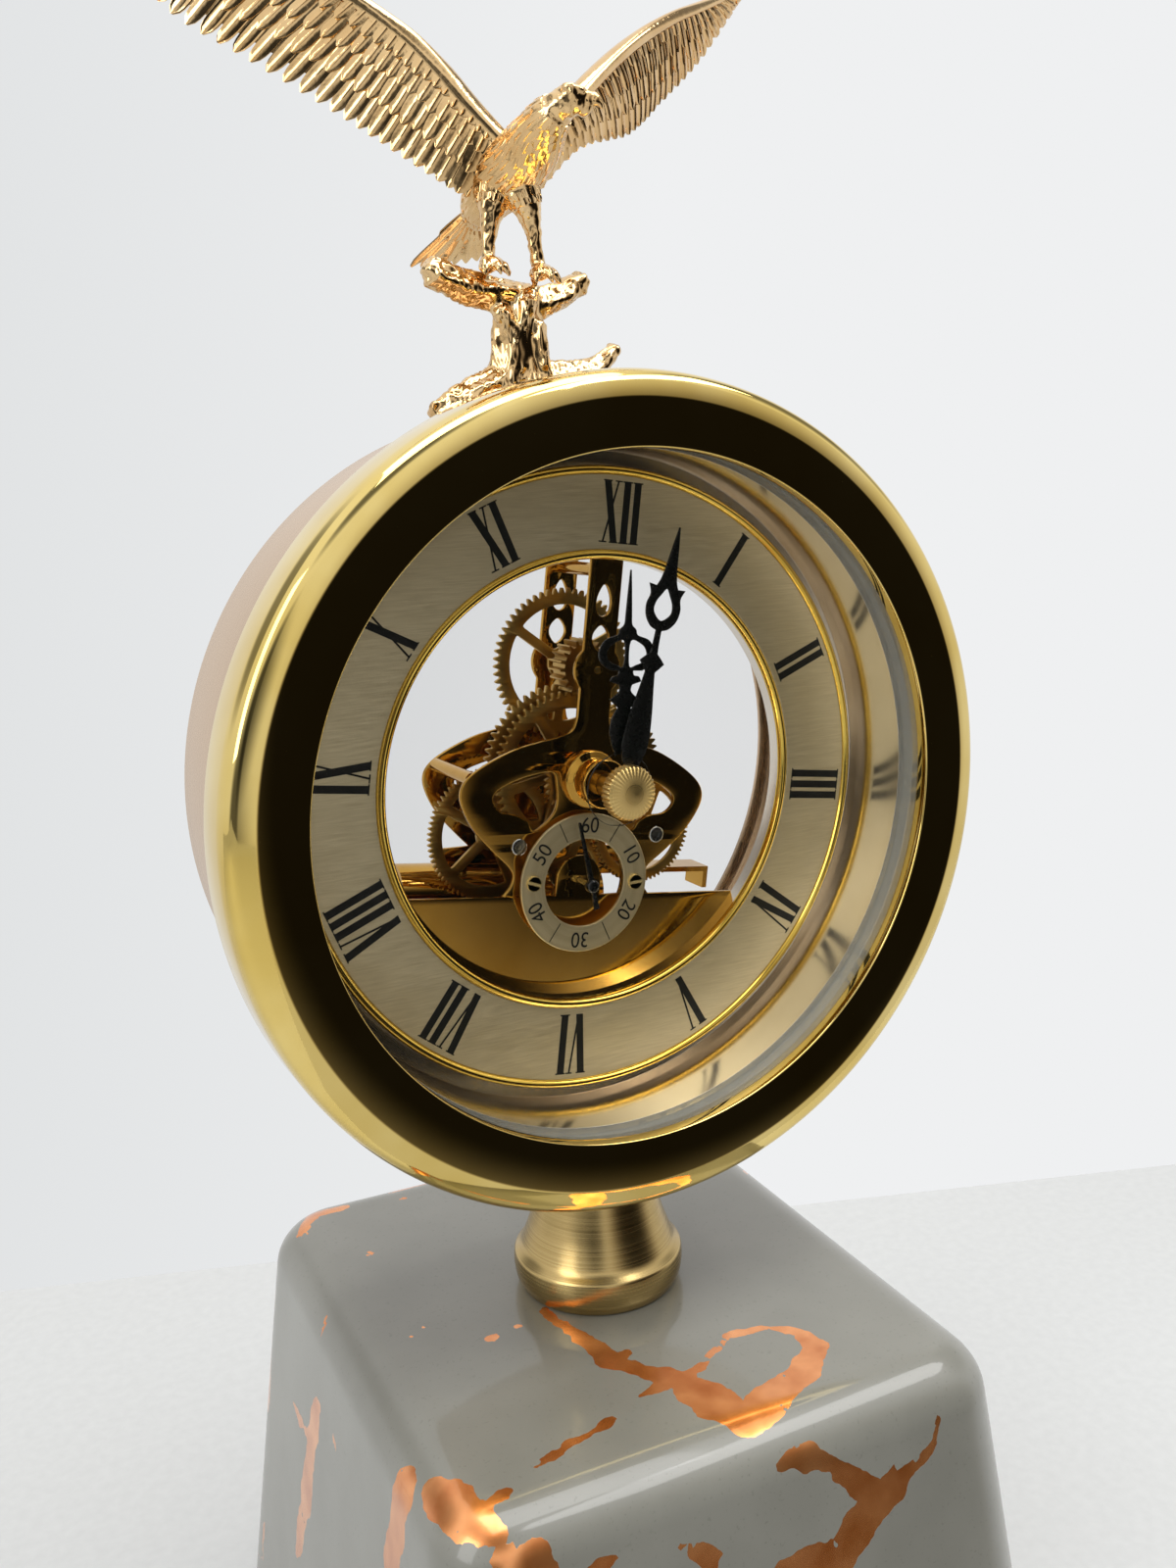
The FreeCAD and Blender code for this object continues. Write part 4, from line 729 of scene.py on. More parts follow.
# ---------------------------------------------------------------- case
for name, node, place, finish, slot, sharp, radius, outline in (
        ("front_bezel_turned", "front_bezel", case_place, BRASS, "polished_brass", 50, 0.3, [
            (81.8, 0.0, 0.5), (93.2, 0.0, 0.35), (98.6, 1.5, 2.6), (100.0, 5.0, 2.0), (100.0, 18.0, 0.8),
            (92.52, 18.0, 0.3), (92.52, 13.0, 0.1), (84.0, 13.0, 0.1), (84.0, 3.5, 0.1), (81.8, 3.5, 0.3)]),
        ("case_drum_spun", "case_drum", case_place, DRUM, "rose_gold", 50, 0.1, [
            (83.72, 13.0, 0.1), (92.5, 13.0, 0.1), (92.5, 69.2, 0.8), (91.8, 70.0, 0.6), (90.0, 70.0, 0.2),
            (90.0, 15.5, 0.2), (83.72, 15.5, 0.1)]),
        ("case_liner_drawn", "case_liner", case_place, LINER, "polished_brass", 50, 0.1, [
            (82.2, 11.5), (83.7, 11.5), (83.7, 66.98), (82.2, 66.98), (82.2, 34.5, 0.3), (76.8, 34.5, 0.3),
            (76.8, 32.5, 0.2), (82.2, 32.5, 0.2)]),
        ("inner_bead_turned", "inner_bead", insert_place, BEAD, "polished_brass", 60, 0.05, [
            (55.4, 28.2, 0.2), (55.9, 27.3, 0.5), (56.6, 27.0, 0.5), (57.3, 27.35, 0.5), (57.78, 28.0, 0.2),
            (57.78, 29.0), (55.4, 29.0)]),
        ("outer_bead_turned", "outer_bead", insert_place, BEAD, "polished_brass", 60, 0.05, [
            (76.22, 28.0, 0.2), (76.7, 27.3, 0.5), (77.3, 27.0, 0.5), (78.0, 27.4, 0.5), (78.4, 28.2, 0.2),
            (78.4, 29.0), (76.22, 29.0)]),
        ("dial_ring_stamped", "dial_ring", insert_place, DIAL, "dial_gold", 50, 0.02, [
            (57.8, 28.06, 0.06), (57.95, 28.0, 0.06), (76.05, 28.0, 0.06), (76.2, 28.06, 0.06), (76.2, 29.0),
            (57.8, 29.0)])):
    build(name, [turned(outline, 256, radius=radius)], place, finish, "stand", [node], sharp)

# ---------------------------------------------------------------- numerals
NUMERAL_FOOT = 59.4
NUMERAL_TOP = 74.8
STEM = 1.89
HAIR = 0.48
SERIF = 0.34
INK_FRONT, INK_BACK = 27.93, 28.01     # the dial's face is at 28


# letters: width, strokes as (x at the head, x at the foot, thickness), hairlines as (from, to, at the head)
LETTERS = {
    "I": (2.9, ((1.45, 1.45, STEM),), ((0.1, 2.8, False), (0.1, 2.8, True))),
    "V": (5.7, ((1.35, 3.1, STEM), (4.75, 3.35, HAIR)), ((0.1, 2.7, True), (3.9, 5.6, True))),
    "X": (5.5, ((1.25, 4.25, STEM), (4.35, 1.15, HAIR)),
          ((0.1, 2.5, True), (3.4, 5.4, True), (0.1, 2.2, False), (3.0, 5.4, False)))}


def numeral(word, hour):
    outlines = []
    x = 0.0
    for kind in word:
        width, strokes, serifs = LETTERS[kind]
        outlines += [[(x + head - w / 2, NUMERAL_TOP), (x + head + w / 2, NUMERAL_TOP),
                      (x + foot + w / 2, NUMERAL_FOOT), (x + foot - w / 2, NUMERAL_FOOT)]
                     for head, foot, w in strokes]
        for x0, x1, at_head in serifs:
            y0, y1 = (NUMERAL_TOP, NUMERAL_TOP - SERIF) if at_head else (NUMERAL_FOOT, NUMERAL_FOOT + SERIF)
            outlines.append([(x + x0, y0), (x + x1, y0), (x + x1, y1), (x + x0, y1)])
        x += width
    # each stroke stands a hair prouder than the one before it, so that crossing strokes don't share a face
    shapes = []
    for k, outline in enumerate(outlines):
        placed = turned_points([(u - x / 2, v) for u, v in outline], hour * math.pi / 6)
        shapes.append(prism(placed, INK_FRONT - 0.002 * k, INK_BACK))
    return shapes


marks = []
for hour, word in enumerate(("I", "II", "III", "IV", "V", "VI", "VII", "VIII", "IX", "X", "XI", "XII"), 1):
    marks.extend(numeral(word, hour))
build("dial_numerals_printed", marks, insert_place, INK, "stand", (), 20)

# ---------------------------------------------------------------- seconds ring
build("second_ring_turned", [turned([
    (11.2, 29.25, 0.05), (11.3, 29.2, 0.05), (17.55, 29.2, 0.05), (17.7, 29.3, 0.1), (17.7, 30.0, 0.1),
    (11.2, 30.0)], 128, SECOND, 0.03)], insert_place, SECONDS, "stand", ["second_ring"], 50)
figures = []
FIGURE_RADIUS = 14.45
for step, text in enumerate(("60", "10", "20", "30", "40", "50")):
    angle = step * math.pi / 3
    middle = (FIGURE_RADIUS * math.sin(angle), SECOND_LEVEL + FIGURE_RADIUS * math.cos(angle))
    figures.append(lettering(text, 5.6, 29.15, 0.05, middle, angle))
# lines between the figures, but for the two places that the screws take
for step in (0, 2, 3, 5):
    line = [(-0.11, 11.9), (0.11, 11.9), (0.11, 17.2), (-0.11, 17.2)]
    figures.append(prism(turned_points(line, (step + 0.5) * math.pi / 3, SECOND), 29.14, 29.21))
build("second_ring_figures", figures, insert_place, INK, "stand", (), 20)

# ---------------------------------------------------------------- hands, cut from sheet, as half outlines
HAND_SHEET = 0.6
HOUR_ANGLE, MINUTE_ANGLE, SECOND_ANGLE = (math.radians(a) for a in (-2.7, 7.6, -17.9))


def minute_hand():
    """Leaf, barbed collar, stem and pierced spearhead."""
    leaf = smooth_loop([(1.3, 5.0), (3.1, 9.0), (3.6, 13.0), (3.0, 19.0), (1.9, 25.5), (1.3, 29.4)], 4, False)
    barb = smooth_loop([(3.4, 31.8), (2.2, 33.0), (1.0, 34.0)], 3, False)
    stem = [(0.8, 36.5), (0.75, 39.2)]
    ring = smooth_loop([(0.75, 39.6), (2.6, 40.4), (4.3, 42.6), (4.8, 45.4), (4.2, 48.0), (5.1, 50.4)],
                       5, False)
    spear = smooth_loop([(3.0, 50.2), (2.2, 52.0), (1.6, 55.0), (0.9, 60.0), (0.12, 65.0)], 4, False)
    half = leaf + barb + stem + ring + spear
    hole = smooth_loop([(0.0, 49.9), (1.3, 48.2), (2.4, 46.2), (2.4, 43.9), (0.0, 42.0), (-2.4, 43.9),
                        (-2.4, 46.2), (-1.3, 48.2)], 5)
    return half, hole


def hour_hand():
    """Leaf, barbs, split fleur, crescent with its ball and needle tip."""
    leaf = smooth_loop([(1.6, 8.0), (3.0, 11.0), (3.7, 14.0), (3.2, 17.5), (1.7, 20.0)], 4, False)
    barb = smooth_loop([(4.1, 22.0), (2.6, 23.0), (1.5, 24.2), (1.8, 25.6)], 3, False)
    arms = smooth_loop([(4.3, 26.4), (3.6, 27.6), (2.2, 27.9), (1.9, 29.0)], 3, False)
    crescent = smooth_loop([(4.4, 29.0), (7.0, 30.8), (7.6, 33.6), (6.0, 36.4), (2.8, 37.6), (2.3, 38.8)],
                           5, False)
    needle = smooth_loop([(1.9, 39.3), (1.0, 40.3), (0.8, 43.0), (0.5, 48.0), (0.12, 53.3)], 4, False)
    half = leaf + barb + arms + crescent + needle
    hole = smooth_loop([(0.75, 30.2), (2.8, 30.4), (5.0, 31.4), (5.5, 33.4), (4.2, 35.3), (0.9, 36.2)], 5)
    return half, hole


def hand(half, holes, hub, bore, front, angle):
    """Blade and hub disc in one outline from its right half. The blade starts inside the hub."""
    turn = math.pi - math.asin(min(1.0, half[0][0] / hub))
    right = [(hub * math.sin(turn * k / 24), -hub * math.cos(turn * k / 24)) for k in range(1, 25)] + half
    loops = [right + mirrored(right[1:]), circle(bore, 32)] + holes
    return cut_sheet([turned_points(loop, angle) for loop in loops], front, HAND_SHEET, 0.1)


minute_half, minute_hole = minute_hand()
build("minute_hand_cut", [hand(minute_half, [minute_hole], 6.0, 1.52, 13.2, MINUTE_ANGLE)],
      insert_place, BLACK, "minute_group", ["minute_hand"], 30)
hour_half, hour_hole = hour_hand()
build("hour_hand_cut", [hand(hour_half, [hour_hole, mirrored(hour_hole)], 9.0, 2.72, 15.6, HOUR_ANGLE)],
      insert_place, BLACK, "hour_group", ["hour_hand"], 30)
second_blade = [(-0.75, -6.2), (0.75, -6.2), (0.55, -2.0), (0.75, 1.0), (0.35, 16.7), (0.0, 16.9),
                (-0.35, 16.7), (-0.75, 1.0), (-0.55, -2.0)]
build("second_hand_cut", [
    cut_sheet([turned_points(second_blade, SECOND_ANGLE, SECOND)], 25.0, HAND_SHEET, 0.1),
    turned_solid(rounded([(0.0, 24.2), (1.3, 24.2, 0.3), (1.7, 24.7, 0.3), (1.7, 26.2, 0.2), (0.0, 26.2)],
                         0, False),
                 48, SECOND)],
    insert_place, BLACK, "second_group", ["second_hand"], 40)


# ---------------------------------------------------------------- hand nut and knob, turned and knurled
def knurled(radius, flute, count, profile):
    """Turned outline whose rim is fluted; profile of (radius share, depth, flute share)."""
    def section(angle):
        cut = 0.5 - 0.5 * math.cos(count * angle)
        return [(radius * share - flute * cut * groove, depth) for share, depth, groove in profile]
    return spun(section, count * 8, CENTRE, False, (profile[0][1], profile[-1][1]))


build("hand_nut_knurled", [knurled(6.8, 0.5, 36, [
    (0.04, 8.0, 0), (0.5, 8.93, 0), (0.92, 9.8, 0), (0.96, 10.05, 0.6), (1.0, 10.4, 1.0), (1.0, 12.9, 1.0),
    (0.97, 13.2, 0.6), (0.3, 13.2, 0)])], insert_place, NUT, "minute_group", ["hand_nut"], 40)
build("setting_knob_knurled", [
    knurled(8.0, 0.4, 36, [(0.3, 61.0, 0), (0.95, 61.0, 0), (1.0, 61.4, 1), (1.0, 64.5, 1), (0.95, 65.0, 0),
                           (0.4, 65.0, 0)]),
    turned([(1.52, 58.6), (3.0, 58.6), (3.0, 61.2), (1.52, 61.2)], 48)],
    insert_place, NUT, "minute_group", ["setting_knob"], 40)
build("centre_bush_turned", [turned([
    (2.8, 23.0), (5.9, 23.0, 0.3), (6.2, 23.3, 0.3), (6.2, 24.8, 0.3), (5.4, 25.2, 0.3), (5.4, 29.6, 0.3),
    (7.4, 30.2, 0.4), (7.4, 32.5), (2.8, 32.5)], 96, radius=0.1)],
    insert_place, PLATE, "stand", ["centre_bush"], 40)


# ---------------------------------------------------------------- screws and bearings of the seconds ring
def slotted_head(centre, radius, top, bottom, slot_angle):
    """Cheese head as two half discs with the slot between them, on a core at the slot's depth."""
    half_slot, slot_depth = 0.28, 0.35
    edge = math.asin(half_slot / radius)
    disc = arc(radius, edge, math.pi - edge, 16)
    shapes = [cut_sheet([turned_points(outline, slot_angle, centre)], top, bottom - top, 0.1)
              for outline in ([(x, -y) for x, y in reversed(disc)], disc)]
    core = radius * 0.97
    shapes.append(turned_solid([(0.0, top + slot_depth), (core, top + slot_depth), (core, bottom),
                                (0.0, bottom)],
                               32, centre))
    return shapes


screws = []
for side, slot_angle in ((-1, 0.25), (1, -0.15)):
    screws.extend(slotted_head((side * 14.4, SECOND_LEVEL), 1.9, 28.5, 29.2, slot_angle))
build("second_ring_screw_heads", screws, insert_place, SCREW, "stand", (), 40)
buttons = [turned([(0.78, 32.3), (1.8, 32.2, 0.15), (2.1, 32.35, 0.15), (2.1, 32.5), (0.78, 32.5)], 48, place)
           for place in (THIRD, DRIVE)]
build("arbor_bearing_buttons", buttons, insert_place, STEEL, "stand", ["arbor_bearings"], 40)

# ---------------------------------------------------------------- movement plates
LOBE = 34.6
PLATE_EDGE = [(0.133, 0.44), (0.165, 0.345), (0.27, 0.295), (0.42, 0.255), (0.61, 0.195), (0.82, 0.085),
              (0.955, -0.02),
              (1.0, -0.125), (0.965, -0.245), (0.86, -0.40), (0.70, -0.55), (0.585, -0.645), (0.535, -0.72),
              (0.55, -0.80), (0.60, -0.867)]
PLATE_WINDOW = [(0.29, 0.035), (0.45, 0.015), (0.62, -0.045), (0.73, -0.115), (0.74, -0.185), (0.67, -0.255),
                (0.55, -0.275), (0.46, -0.32), (0.40, -0.39), (0.28, -0.30), (0.235, -0.20), (0.25, -0.06)]
TEARDROP = [(0.0, 1.42), (0.055, 1.32), (0.048, 1.22), (0.0, 1.185), (-0.048, 1.22), (-0.055, 1.32)]
STRUT_WINDOW = [(0.0, 1.12), (0.06, 1.06), (0.06, 0.99), (0.0, 0.93), (-0.06, 0.99), (-0.06, 1.06)]


STRUT_HALF, BOSS = 4.6, 6.6
PLATE_SHEET, PLATE_BREAK = 1.2, 0.28
FRONT_PLATE, REAR_PLATE = 32.5, 57.0
ARBOR_BORE = 0.76
CRESCENT, SHELF = 62.0, -30.0


def lobed(points, steps=4, closed=True):
    """Smooth outline from points given as shares of the lobe's reach."""
    return smooth_loop([(x * LOBE, y * LOBE) for x, y in points], steps, closed)


def strut_side():
    """Right side of the strut with the round boss of the upper arbor."""
    start = math.acos(STRUT_HALF / BOSS)
    return ([(STRUT_HALF, CRESCENT), (STRUT_HALF, 33.0)] + arc(BOSS, start, -start, 8, UPPER)
            + [(STRUT_HALF, 22.0)])


def plate_holes(bore):
    windows = [lobed(points)
               for points in (PLATE_WINDOW, [(-x, y) for x, y in PLATE_WINDOW], TEARDROP, STRUT_WINDOW)]
    return windows + [circle(bore, 32)] + [circle(ARBOR_BORE, 16, place) for place in (THIRD, DRIVE, UPPER)]


def front_plate():
    """Strut, lobes and lower crescent. The seconds window runs round the tab of the seconds arbor."""
    end = math.atan2(SHELF, math.sqrt(CRESCENT ** 2 - SHELF ** 2))
    right = (strut_side() + lobed(PLATE_EDGE, 5, False) + [(20.7, SHELF)]
             + arc(CRESCENT, end, -math.pi / 2, 32))
    window_radius, tab = 12.4, 6.3
    window = (arc(window_radius, math.radians(-18), math.radians(198), 40, SECOND) + [(-tab, SHELF)]
              + arc(tab, math.pi, 0.0, 16, SECOND) + [(tab, SHELF)])
    loops = [right + mirrored(right), window] + plate_holes(2.85)
    loops += [circle(ARBOR_BORE, 16, SECOND), circle(0.72, 16, POST)]
    return cut_sheet(loops, FRONT_PLATE, PLATE_SHEET, PLATE_BREAK)


def rear_plate():
    right = strut_side() + lobed(PLATE_EDGE[:12], 5, False) + [(28.0, -23.0), (28.0, -27.14)]
    loops = ([right + mirrored(right)] + plate_holes(1.57)
             + [circle(ARBOR_BORE, 16, (0.0, SECOND_LEVEL + 0.6))])
    return cut_sheet(loops, REAR_PLATE, PLATE_SHEET, PLATE_BREAK)


build("front_plate_pressed", [front_plate()], insert_place, PLATE, "stand", ["front_plate"], 35)
build("rear_plate_pressed", [rear_plate()], insert_place, PLATE, "stand", ["rear_plate"], 35)


# ---------------------------------------------------------------- wheels
def tooth_ring(teeth, module, towards, gap, centre):
    """Rim outline: rounded gullets, straight flanks and eased tips, inside the source's tooth."""
    pitch = module * teeth / 2
    tip = pitch + 0.78 * module - 0.05
    root = pitch - 1.45 * module - 0.05
    step = 2 * math.pi / teeth
    start = towards + (step / 2 if gap else 0)
    half_tooth = ((0.05, tip), (0.105, tip - 0.12 * module), (0.22, pitch), (0.36, root + 0.18 * module))
    tooth = [(-0.5, root)] + [(-share, r) for share, r in reversed(half_tooth)] + list(half_tooth)
    loop = []
    for number in range(teeth):
        for share, r in tooth:
            angle = start + (number + share) * step
            loop.append((centre[0] + r * math.cos(angle), centre[1] + r * math.sin(angle)))
    return loop


def wheel_window(rim, hub, start, end, width, centre):
    """Window between two spokes with eased corners."""
    loop = (arc(rim, start + width / rim, end - width / rim, 12, centre)
            + arc(hub, end - width / hub, start + width / hub, 4, centre))
    return rounded(loop, 0.7, True, 2)


def wheel(teeth, module, depth, centre, towards, gap, spokes, bore):
    """Punched wheel with spokes."""
    rim, hub = module * teeth / 2 * 0.80, 4.3
    step = 2 * math.pi / spokes
    starts = [towards + step * (spoke - 0.5) for spoke in range(spokes)]
    loops = [tooth_ring(teeth, module, towards, gap, centre)]
    loops += [wheel_window(rim, hub, start, start + step, 1.3, centre) for start in starts]
    return cut_sheet(loops + [circle(bore, 24, centre)], depth, 1.2, 0.09)


def direction(a, b):
    return math.atan2(b[1] - a[1], b[0] - a[0])


def module_of(a, b, teeth_a, teeth_b):
    return 2 * math.dist(a, b) / (teeth_a + teeth_b)


seconds_module = module_of(SECOND, THIRD, 10, 75)
great_module = module_of(THIRD, CENTRE, 8, 64)
upper_pair_module = module_of(CENTRE, UPPER, 60, 20)
upper_wheel_module = 2 * 19.3 / 60
drive_pair_module = module_of(SECOND, DRIVE, 50, 68)
UP = math.pi / 2
for name, group, teeth, module, depth, centre, towards, gap, spokes, bore in (
        ("third", "third", 75, seconds_module, 49.0, THIRD, direction(THIRD, SECOND), False, 5, 1.02),
        ("great", "minute", 64, great_module, 47.0, CENTRE, direction(CENTRE, THIRD), False, 5, 1.52),
        ("centre", "minute", 60, upper_pair_module, 43.2, CENTRE, UP, False, 5, 1.52),
        ("upper", "upper", 60, upper_wheel_module, 52.0, UPPER, UP, False, 3, 1.02),
        ("drive", "drive", 68, drive_pair_module, 40.0, DRIVE, direction(DRIVE, SECOND), False, 4, 1.02),
        ("second", "second", 50, drive_pair_module, 40.0, SECOND, direction(SECOND, DRIVE), True, 4, 1.02)):
    build(name + "_wheel_punched", [wheel(teeth, module, depth, centre, towards, gap, spokes, bore)],
          insert_place, WHEEL, group + "_group", [name + "_wheel"], 30)

# ---------------------------------------------------------------- cast eagle and stump, from the perch
def run_point(run, at):
    """Point and radius along a run of (x, y, z, radius), as a smooth curve."""
    last = len(run) - 1
    i = min(int(at * last), last - 1)
    return spline_at([Vector(run[max(0, min(last, i + k))]) for k in (-1, 0, 1, 2)], at * last - i)


def run_direction(run, at, step):
    return (run_point(run, min(1.0, at + step)) - run_point(run, max(0.0, at - step))).xyz.normalized()


def limb(run, rings=26, sides=24, lobes=0, lobe_depth=0.0, twist=0.0, squash=1.0):
    """Round-ended branch, root, neck or leg; lobes make the cords of old wood."""
    points = []
    side = Vector((0.31, 0.2, 0.93))
    for k in range(rings + 1):
        at = k / rings
        here = run_point(run, at)
        along = run_direction(run, at, 0.02)
        from_end = min(1.0, min(at, 1 - at) * rings / 2.2)
        radius = here[3] * math.sqrt(max(0.05, 1 - (1 - from_end) ** 2))
        side = (side - along * side.dot(along)).normalized()
        other = along.cross(side)
        for i in range(sides):
            angle = 2 * math.pi * i / sides
            r = radius * (1 + lobe_depth * math.sin(lobes * angle + twist * at)
                          + 0.5 * lobe_depth * math.sin((lobes + 2) * angle - 1.7 * twist * at))
            points.append(tuple(here.xyz + side * (r * math.cos(angle))
                                + other * (r * squash * math.sin(angle))))
    return points, (tube(rings + 1, sides)
                    + [tuple(range(sides)), tuple(range(rings * sides, (rings + 1) * sides))])


def ball(centre, radius, stretch=(1.0, 1.0, 1.0)):
    rings, sides = 12, 16
    across, deep, high = (radius * share for share in stretch)
    x, y, z = centre
    points = [(x, y, z + high), (x, y, z - high)]
    for k in range(1, rings):
        a = math.pi * k / rings
        for i in range(sides):
            b = 2 * math.pi * i / sides
            points.append((x + across * math.sin(a) * math.cos(b), y + deep * math.sin(a) * math.sin(b),
                           z + high * math.cos(a)))
    faces = tube(rings - 1, sides)
    faces = [tuple(2 + i for i in reversed(face)) for face in faces]
    last = 2 + (rings - 2) * sides
    for i in range(sides):
        j = (i + 1) % sides
        faces += [(0, 2 + i, 2 + j), (1, last + j, last + i)]
    return points, faces


def fused(shapes, voxel, relief):
    """Shapes run together into one skin, eased, then raised by relief(point) along its normals."""
    points, faces = joined(shapes)
    mesh = bpy.data.meshes.new("core")
    mesh.from_pydata(points, [], faces)
    work = bmesh.new()
    work.from_mesh(mesh)
    bmesh.ops.recalc_face_normals(work, faces=work.faces)
    work.to_mesh(mesh)
    work.free()
    holder = bpy.data.objects.new("core", mesh)
    bpy.context.scene.collection.objects.link(holder)
    skin = holder.modifiers.new("skin", "REMESH")
    skin.mode = "VOXEL"
    skin.voxel_size = voxel
    bpy.context.view_layer.update()
    result = bpy.data.meshes.new_from_object(holder.evaluated_get(bpy.context.evaluated_depsgraph_get()))
    work = bmesh.new()
    work.from_mesh(result)
    for _ in range(2):
        bmesh.ops.smooth_vert(work, verts=work.verts, factor=0.5, use_axis_x=True, use_axis_y=True,
                              use_axis_z=True)
    work.normal_update()
    points = [tuple(v.co + v.normal * relief(v.co)) for v in work.verts]
    faces = [tuple(v.index for v in f.verts) for f in work.faces]
    work.free()
    bpy.data.objects.remove(holder)
    bpy.data.meshes.remove(mesh)
    bpy.data.meshes.remove(result)
    return points, faces


TRUNK = [(-2.7, 0.0, -36.0, 10.0), (-4.6, 0.0, -25.0, 6.2), (-3.6, 0.0, -15.5, 5.7), (-1.6, 0.0, -6.5, 6.8)]
LEFT_BRANCH = [(2.0, 0.0, -7.5, 4.6), (-9.0, -1.0, -6.2, 4.1), (-18.0, -2.0, -4.4, 3.9),
               (-27.0, -3.0, -1.2, 3.6)]
RIGHT_BRANCH = [(0.0, 0.0, -9.0, 4.2), (9.0, 0.0, -6.0, 3.6), (16.6, 0.0, -1.2, 2.5)]
LEFT_ROOT = [(-4.0, 0.0, -26.0, 5.4), (-15.0, -1.0, -30.0, 4.2), (-27.4, -2.0, -35.2, 2.9)]
RIGHT_ROOT = [(-3.0, 0.0, -27.0, 5.0), (9.0, 0.0, -25.4, 3.6), (19.0, 0.0, -23.2, 2.7),
              (25.0, 0.0, -17.6, 2.0)]


def bark(co):
    """Long furrows and knots, a millimetre or so."""
    furrow = abs(noise.noise(Vector((co.x * 0.30, co.y * 0.32, co.z * 0.09)))) - 0.2
    return -2.8 * max(0.0, 0.16 - abs(furrow)) + 0.3 * noise.noise(co * 0.34)


def stump():
    shapes = [limb(TRUNK, 30, 32, 4, 0.15, 3.4), limb(LEFT_BRANCH, 30, 28, 4, 0.12, 4.0),
              limb(RIGHT_BRANCH, 22, 24, 3, 0.12, 3.0), limb(LEFT_ROOT, 26, 24, 4, 0.14, 4.0),
              limb(RIGHT_ROOT, 26, 24, 3, 0.14, 3.0)]
    cords = [
        [(-8.5, -4.0, -33.5, 3.2), (-6.0, -4.6, -20.0, 1.8), (-9.0, -3.5, -9.0, 2.6)],
        [(2.5, -4.4, -34.5, 3.2), (1.5, -5.4, -24.0, 2.0), (0.5, -4.6, -12.0, 2.2)],
        [(-2.0, -5.0, -33.5, 3.0), (-14.0, -6.0, -34.6, 2.2), (-22.0, -6.6, -37.0, 1.6)],
        [(-24.0, -2.8, -2.0, 3.2), (-27.2, -3.0, 0.4, 2.6)],
        [(2.0, -3.0, -32.0, 3.0), (12.0, -4.0, -31.5, 2.0), (19.0, -4.6, -33.5, 1.5)],
        [(14.0, 0.0, -2.8, 2.3), (15.5, -0.4, -6.0, 1.5)],
        [(-3.0, 5.0, -34.0, 3.4), (-2.0, 5.4, -20.0, 2.3), (-1.0, 3.6, -10.0, 2.4)],
        [(18.0, 0.0, -22.6, 2.2), (22.8, 0.6, -20.2, 1.5), (24.6, 1.0, -21.4, 1.0)],
    ]
    shapes.extend(limb(run, 18, 16, 3, 0.1, 3.0) for run in cords)
    points, faces = fused(shapes, 0.62, bark)
    # the foot follows the drum and the bezel's rim
    clearance = 0.05
    kept = []
    for x, y, z in points:
        a, b = PERCH[0] + x, PERCH_RISE + z
        rim = (DRUM_RADIUS if PERCH[1] + y + CASE_SETBACK > BEZEL_DEPTH else BEZEL_RADIUS) + clearance
        r = math.hypot(a, b)
        if r < rim and z < -20:
            a, b = a * rim / r, b * rim / r
        kept.append((a - PERCH[0], y, b - PERCH_RISE))
    return kept, faces


build("perch_stump_cast", [stump()], perch_place, WOOD, "stand", ["perch_stump"], 70)

# body, head, legs and feet
TORSO = [(-7.8, 12.0, 12.8, 3.0), (-7.4, 6.0, 17.0, 5.8), (-5.4, -3.0, 21.6, 7.3), (-2.6, -11.0, 26.6, 6.9),
         (-1.8, -18.6, 31.0, 5.2), (-0.7, -22.9, 33.2, 4.2)]


HEAD_TURN = math.radians(42)
NECK = (-0.9, -22.5)


def turned_head(run):
    """The bird looks past its left shoulder: head points turn about the neck."""
    sine, cosine = math.sin(HEAD_TURN), math.cos(HEAD_TURN)
    return [(NECK[0] + (x - NECK[0]) * cosine - (y - NECK[1]) * sine,
             NECK[1] + (x - NECK[0]) * sine + (y - NECK[1]) * cosine, *rest) for x, y, *rest in run]


SKULL = turned_head([(-1.2, -21.0, 32.4, 3.5), (-0.9, -25.4, 34.3, 3.9), (-0.5, -29.0, 34.1, 2.7)])
BEAK = turned_head([(-0.5, -28.2, 34.3, 2.4), (0.1, -30.5, 34.3, 1.8), (0.5, -32.0, 33.3, 1.0),
                    (0.7, -32.4, 31.6, 0.4)])
LEFT_LEG = [(-8.0, -2.4, 19.0, 4.9), (-9.6, -2.8, 13.5, 3.4), (-10.7, -3.0, 7.5, 1.9),
            (-11.3, -3.0, 0.6, 1.7)]
RIGHT_LEG = [(-3.8, -6.4, 17.8, 4.9), (-2.0, -6.8, 13.0, 3.3), (-0.7, -7.0, 7.0, 1.9), (0.1, -7.0, -1.4, 1.7)]


def claw(x, y, z, dx, dy, length):
    """Toe that lies along the branch, and its talon hooked down."""
    return limb([(x, y, z, 1.6), (x + dx * length * 0.5, y + dy * length * 0.5, z + 0.5, 1.5),
                 (x + dx * length, y + dy * length, z - 0.8, 1.15),
                 (x + dx * (length + 1.3), y + dy * (length + 1.3), z - 3.0, 0.45)], 16, 12)


def down(co):
    """Soft down: short strokes that run back along the body."""
    streak = noise.noise(Vector((co.x * 0.9, co.y * 0.35, co.z * 0.6)))
    return 0.34 * streak + 0.12 * noise.noise(co * 1.6)


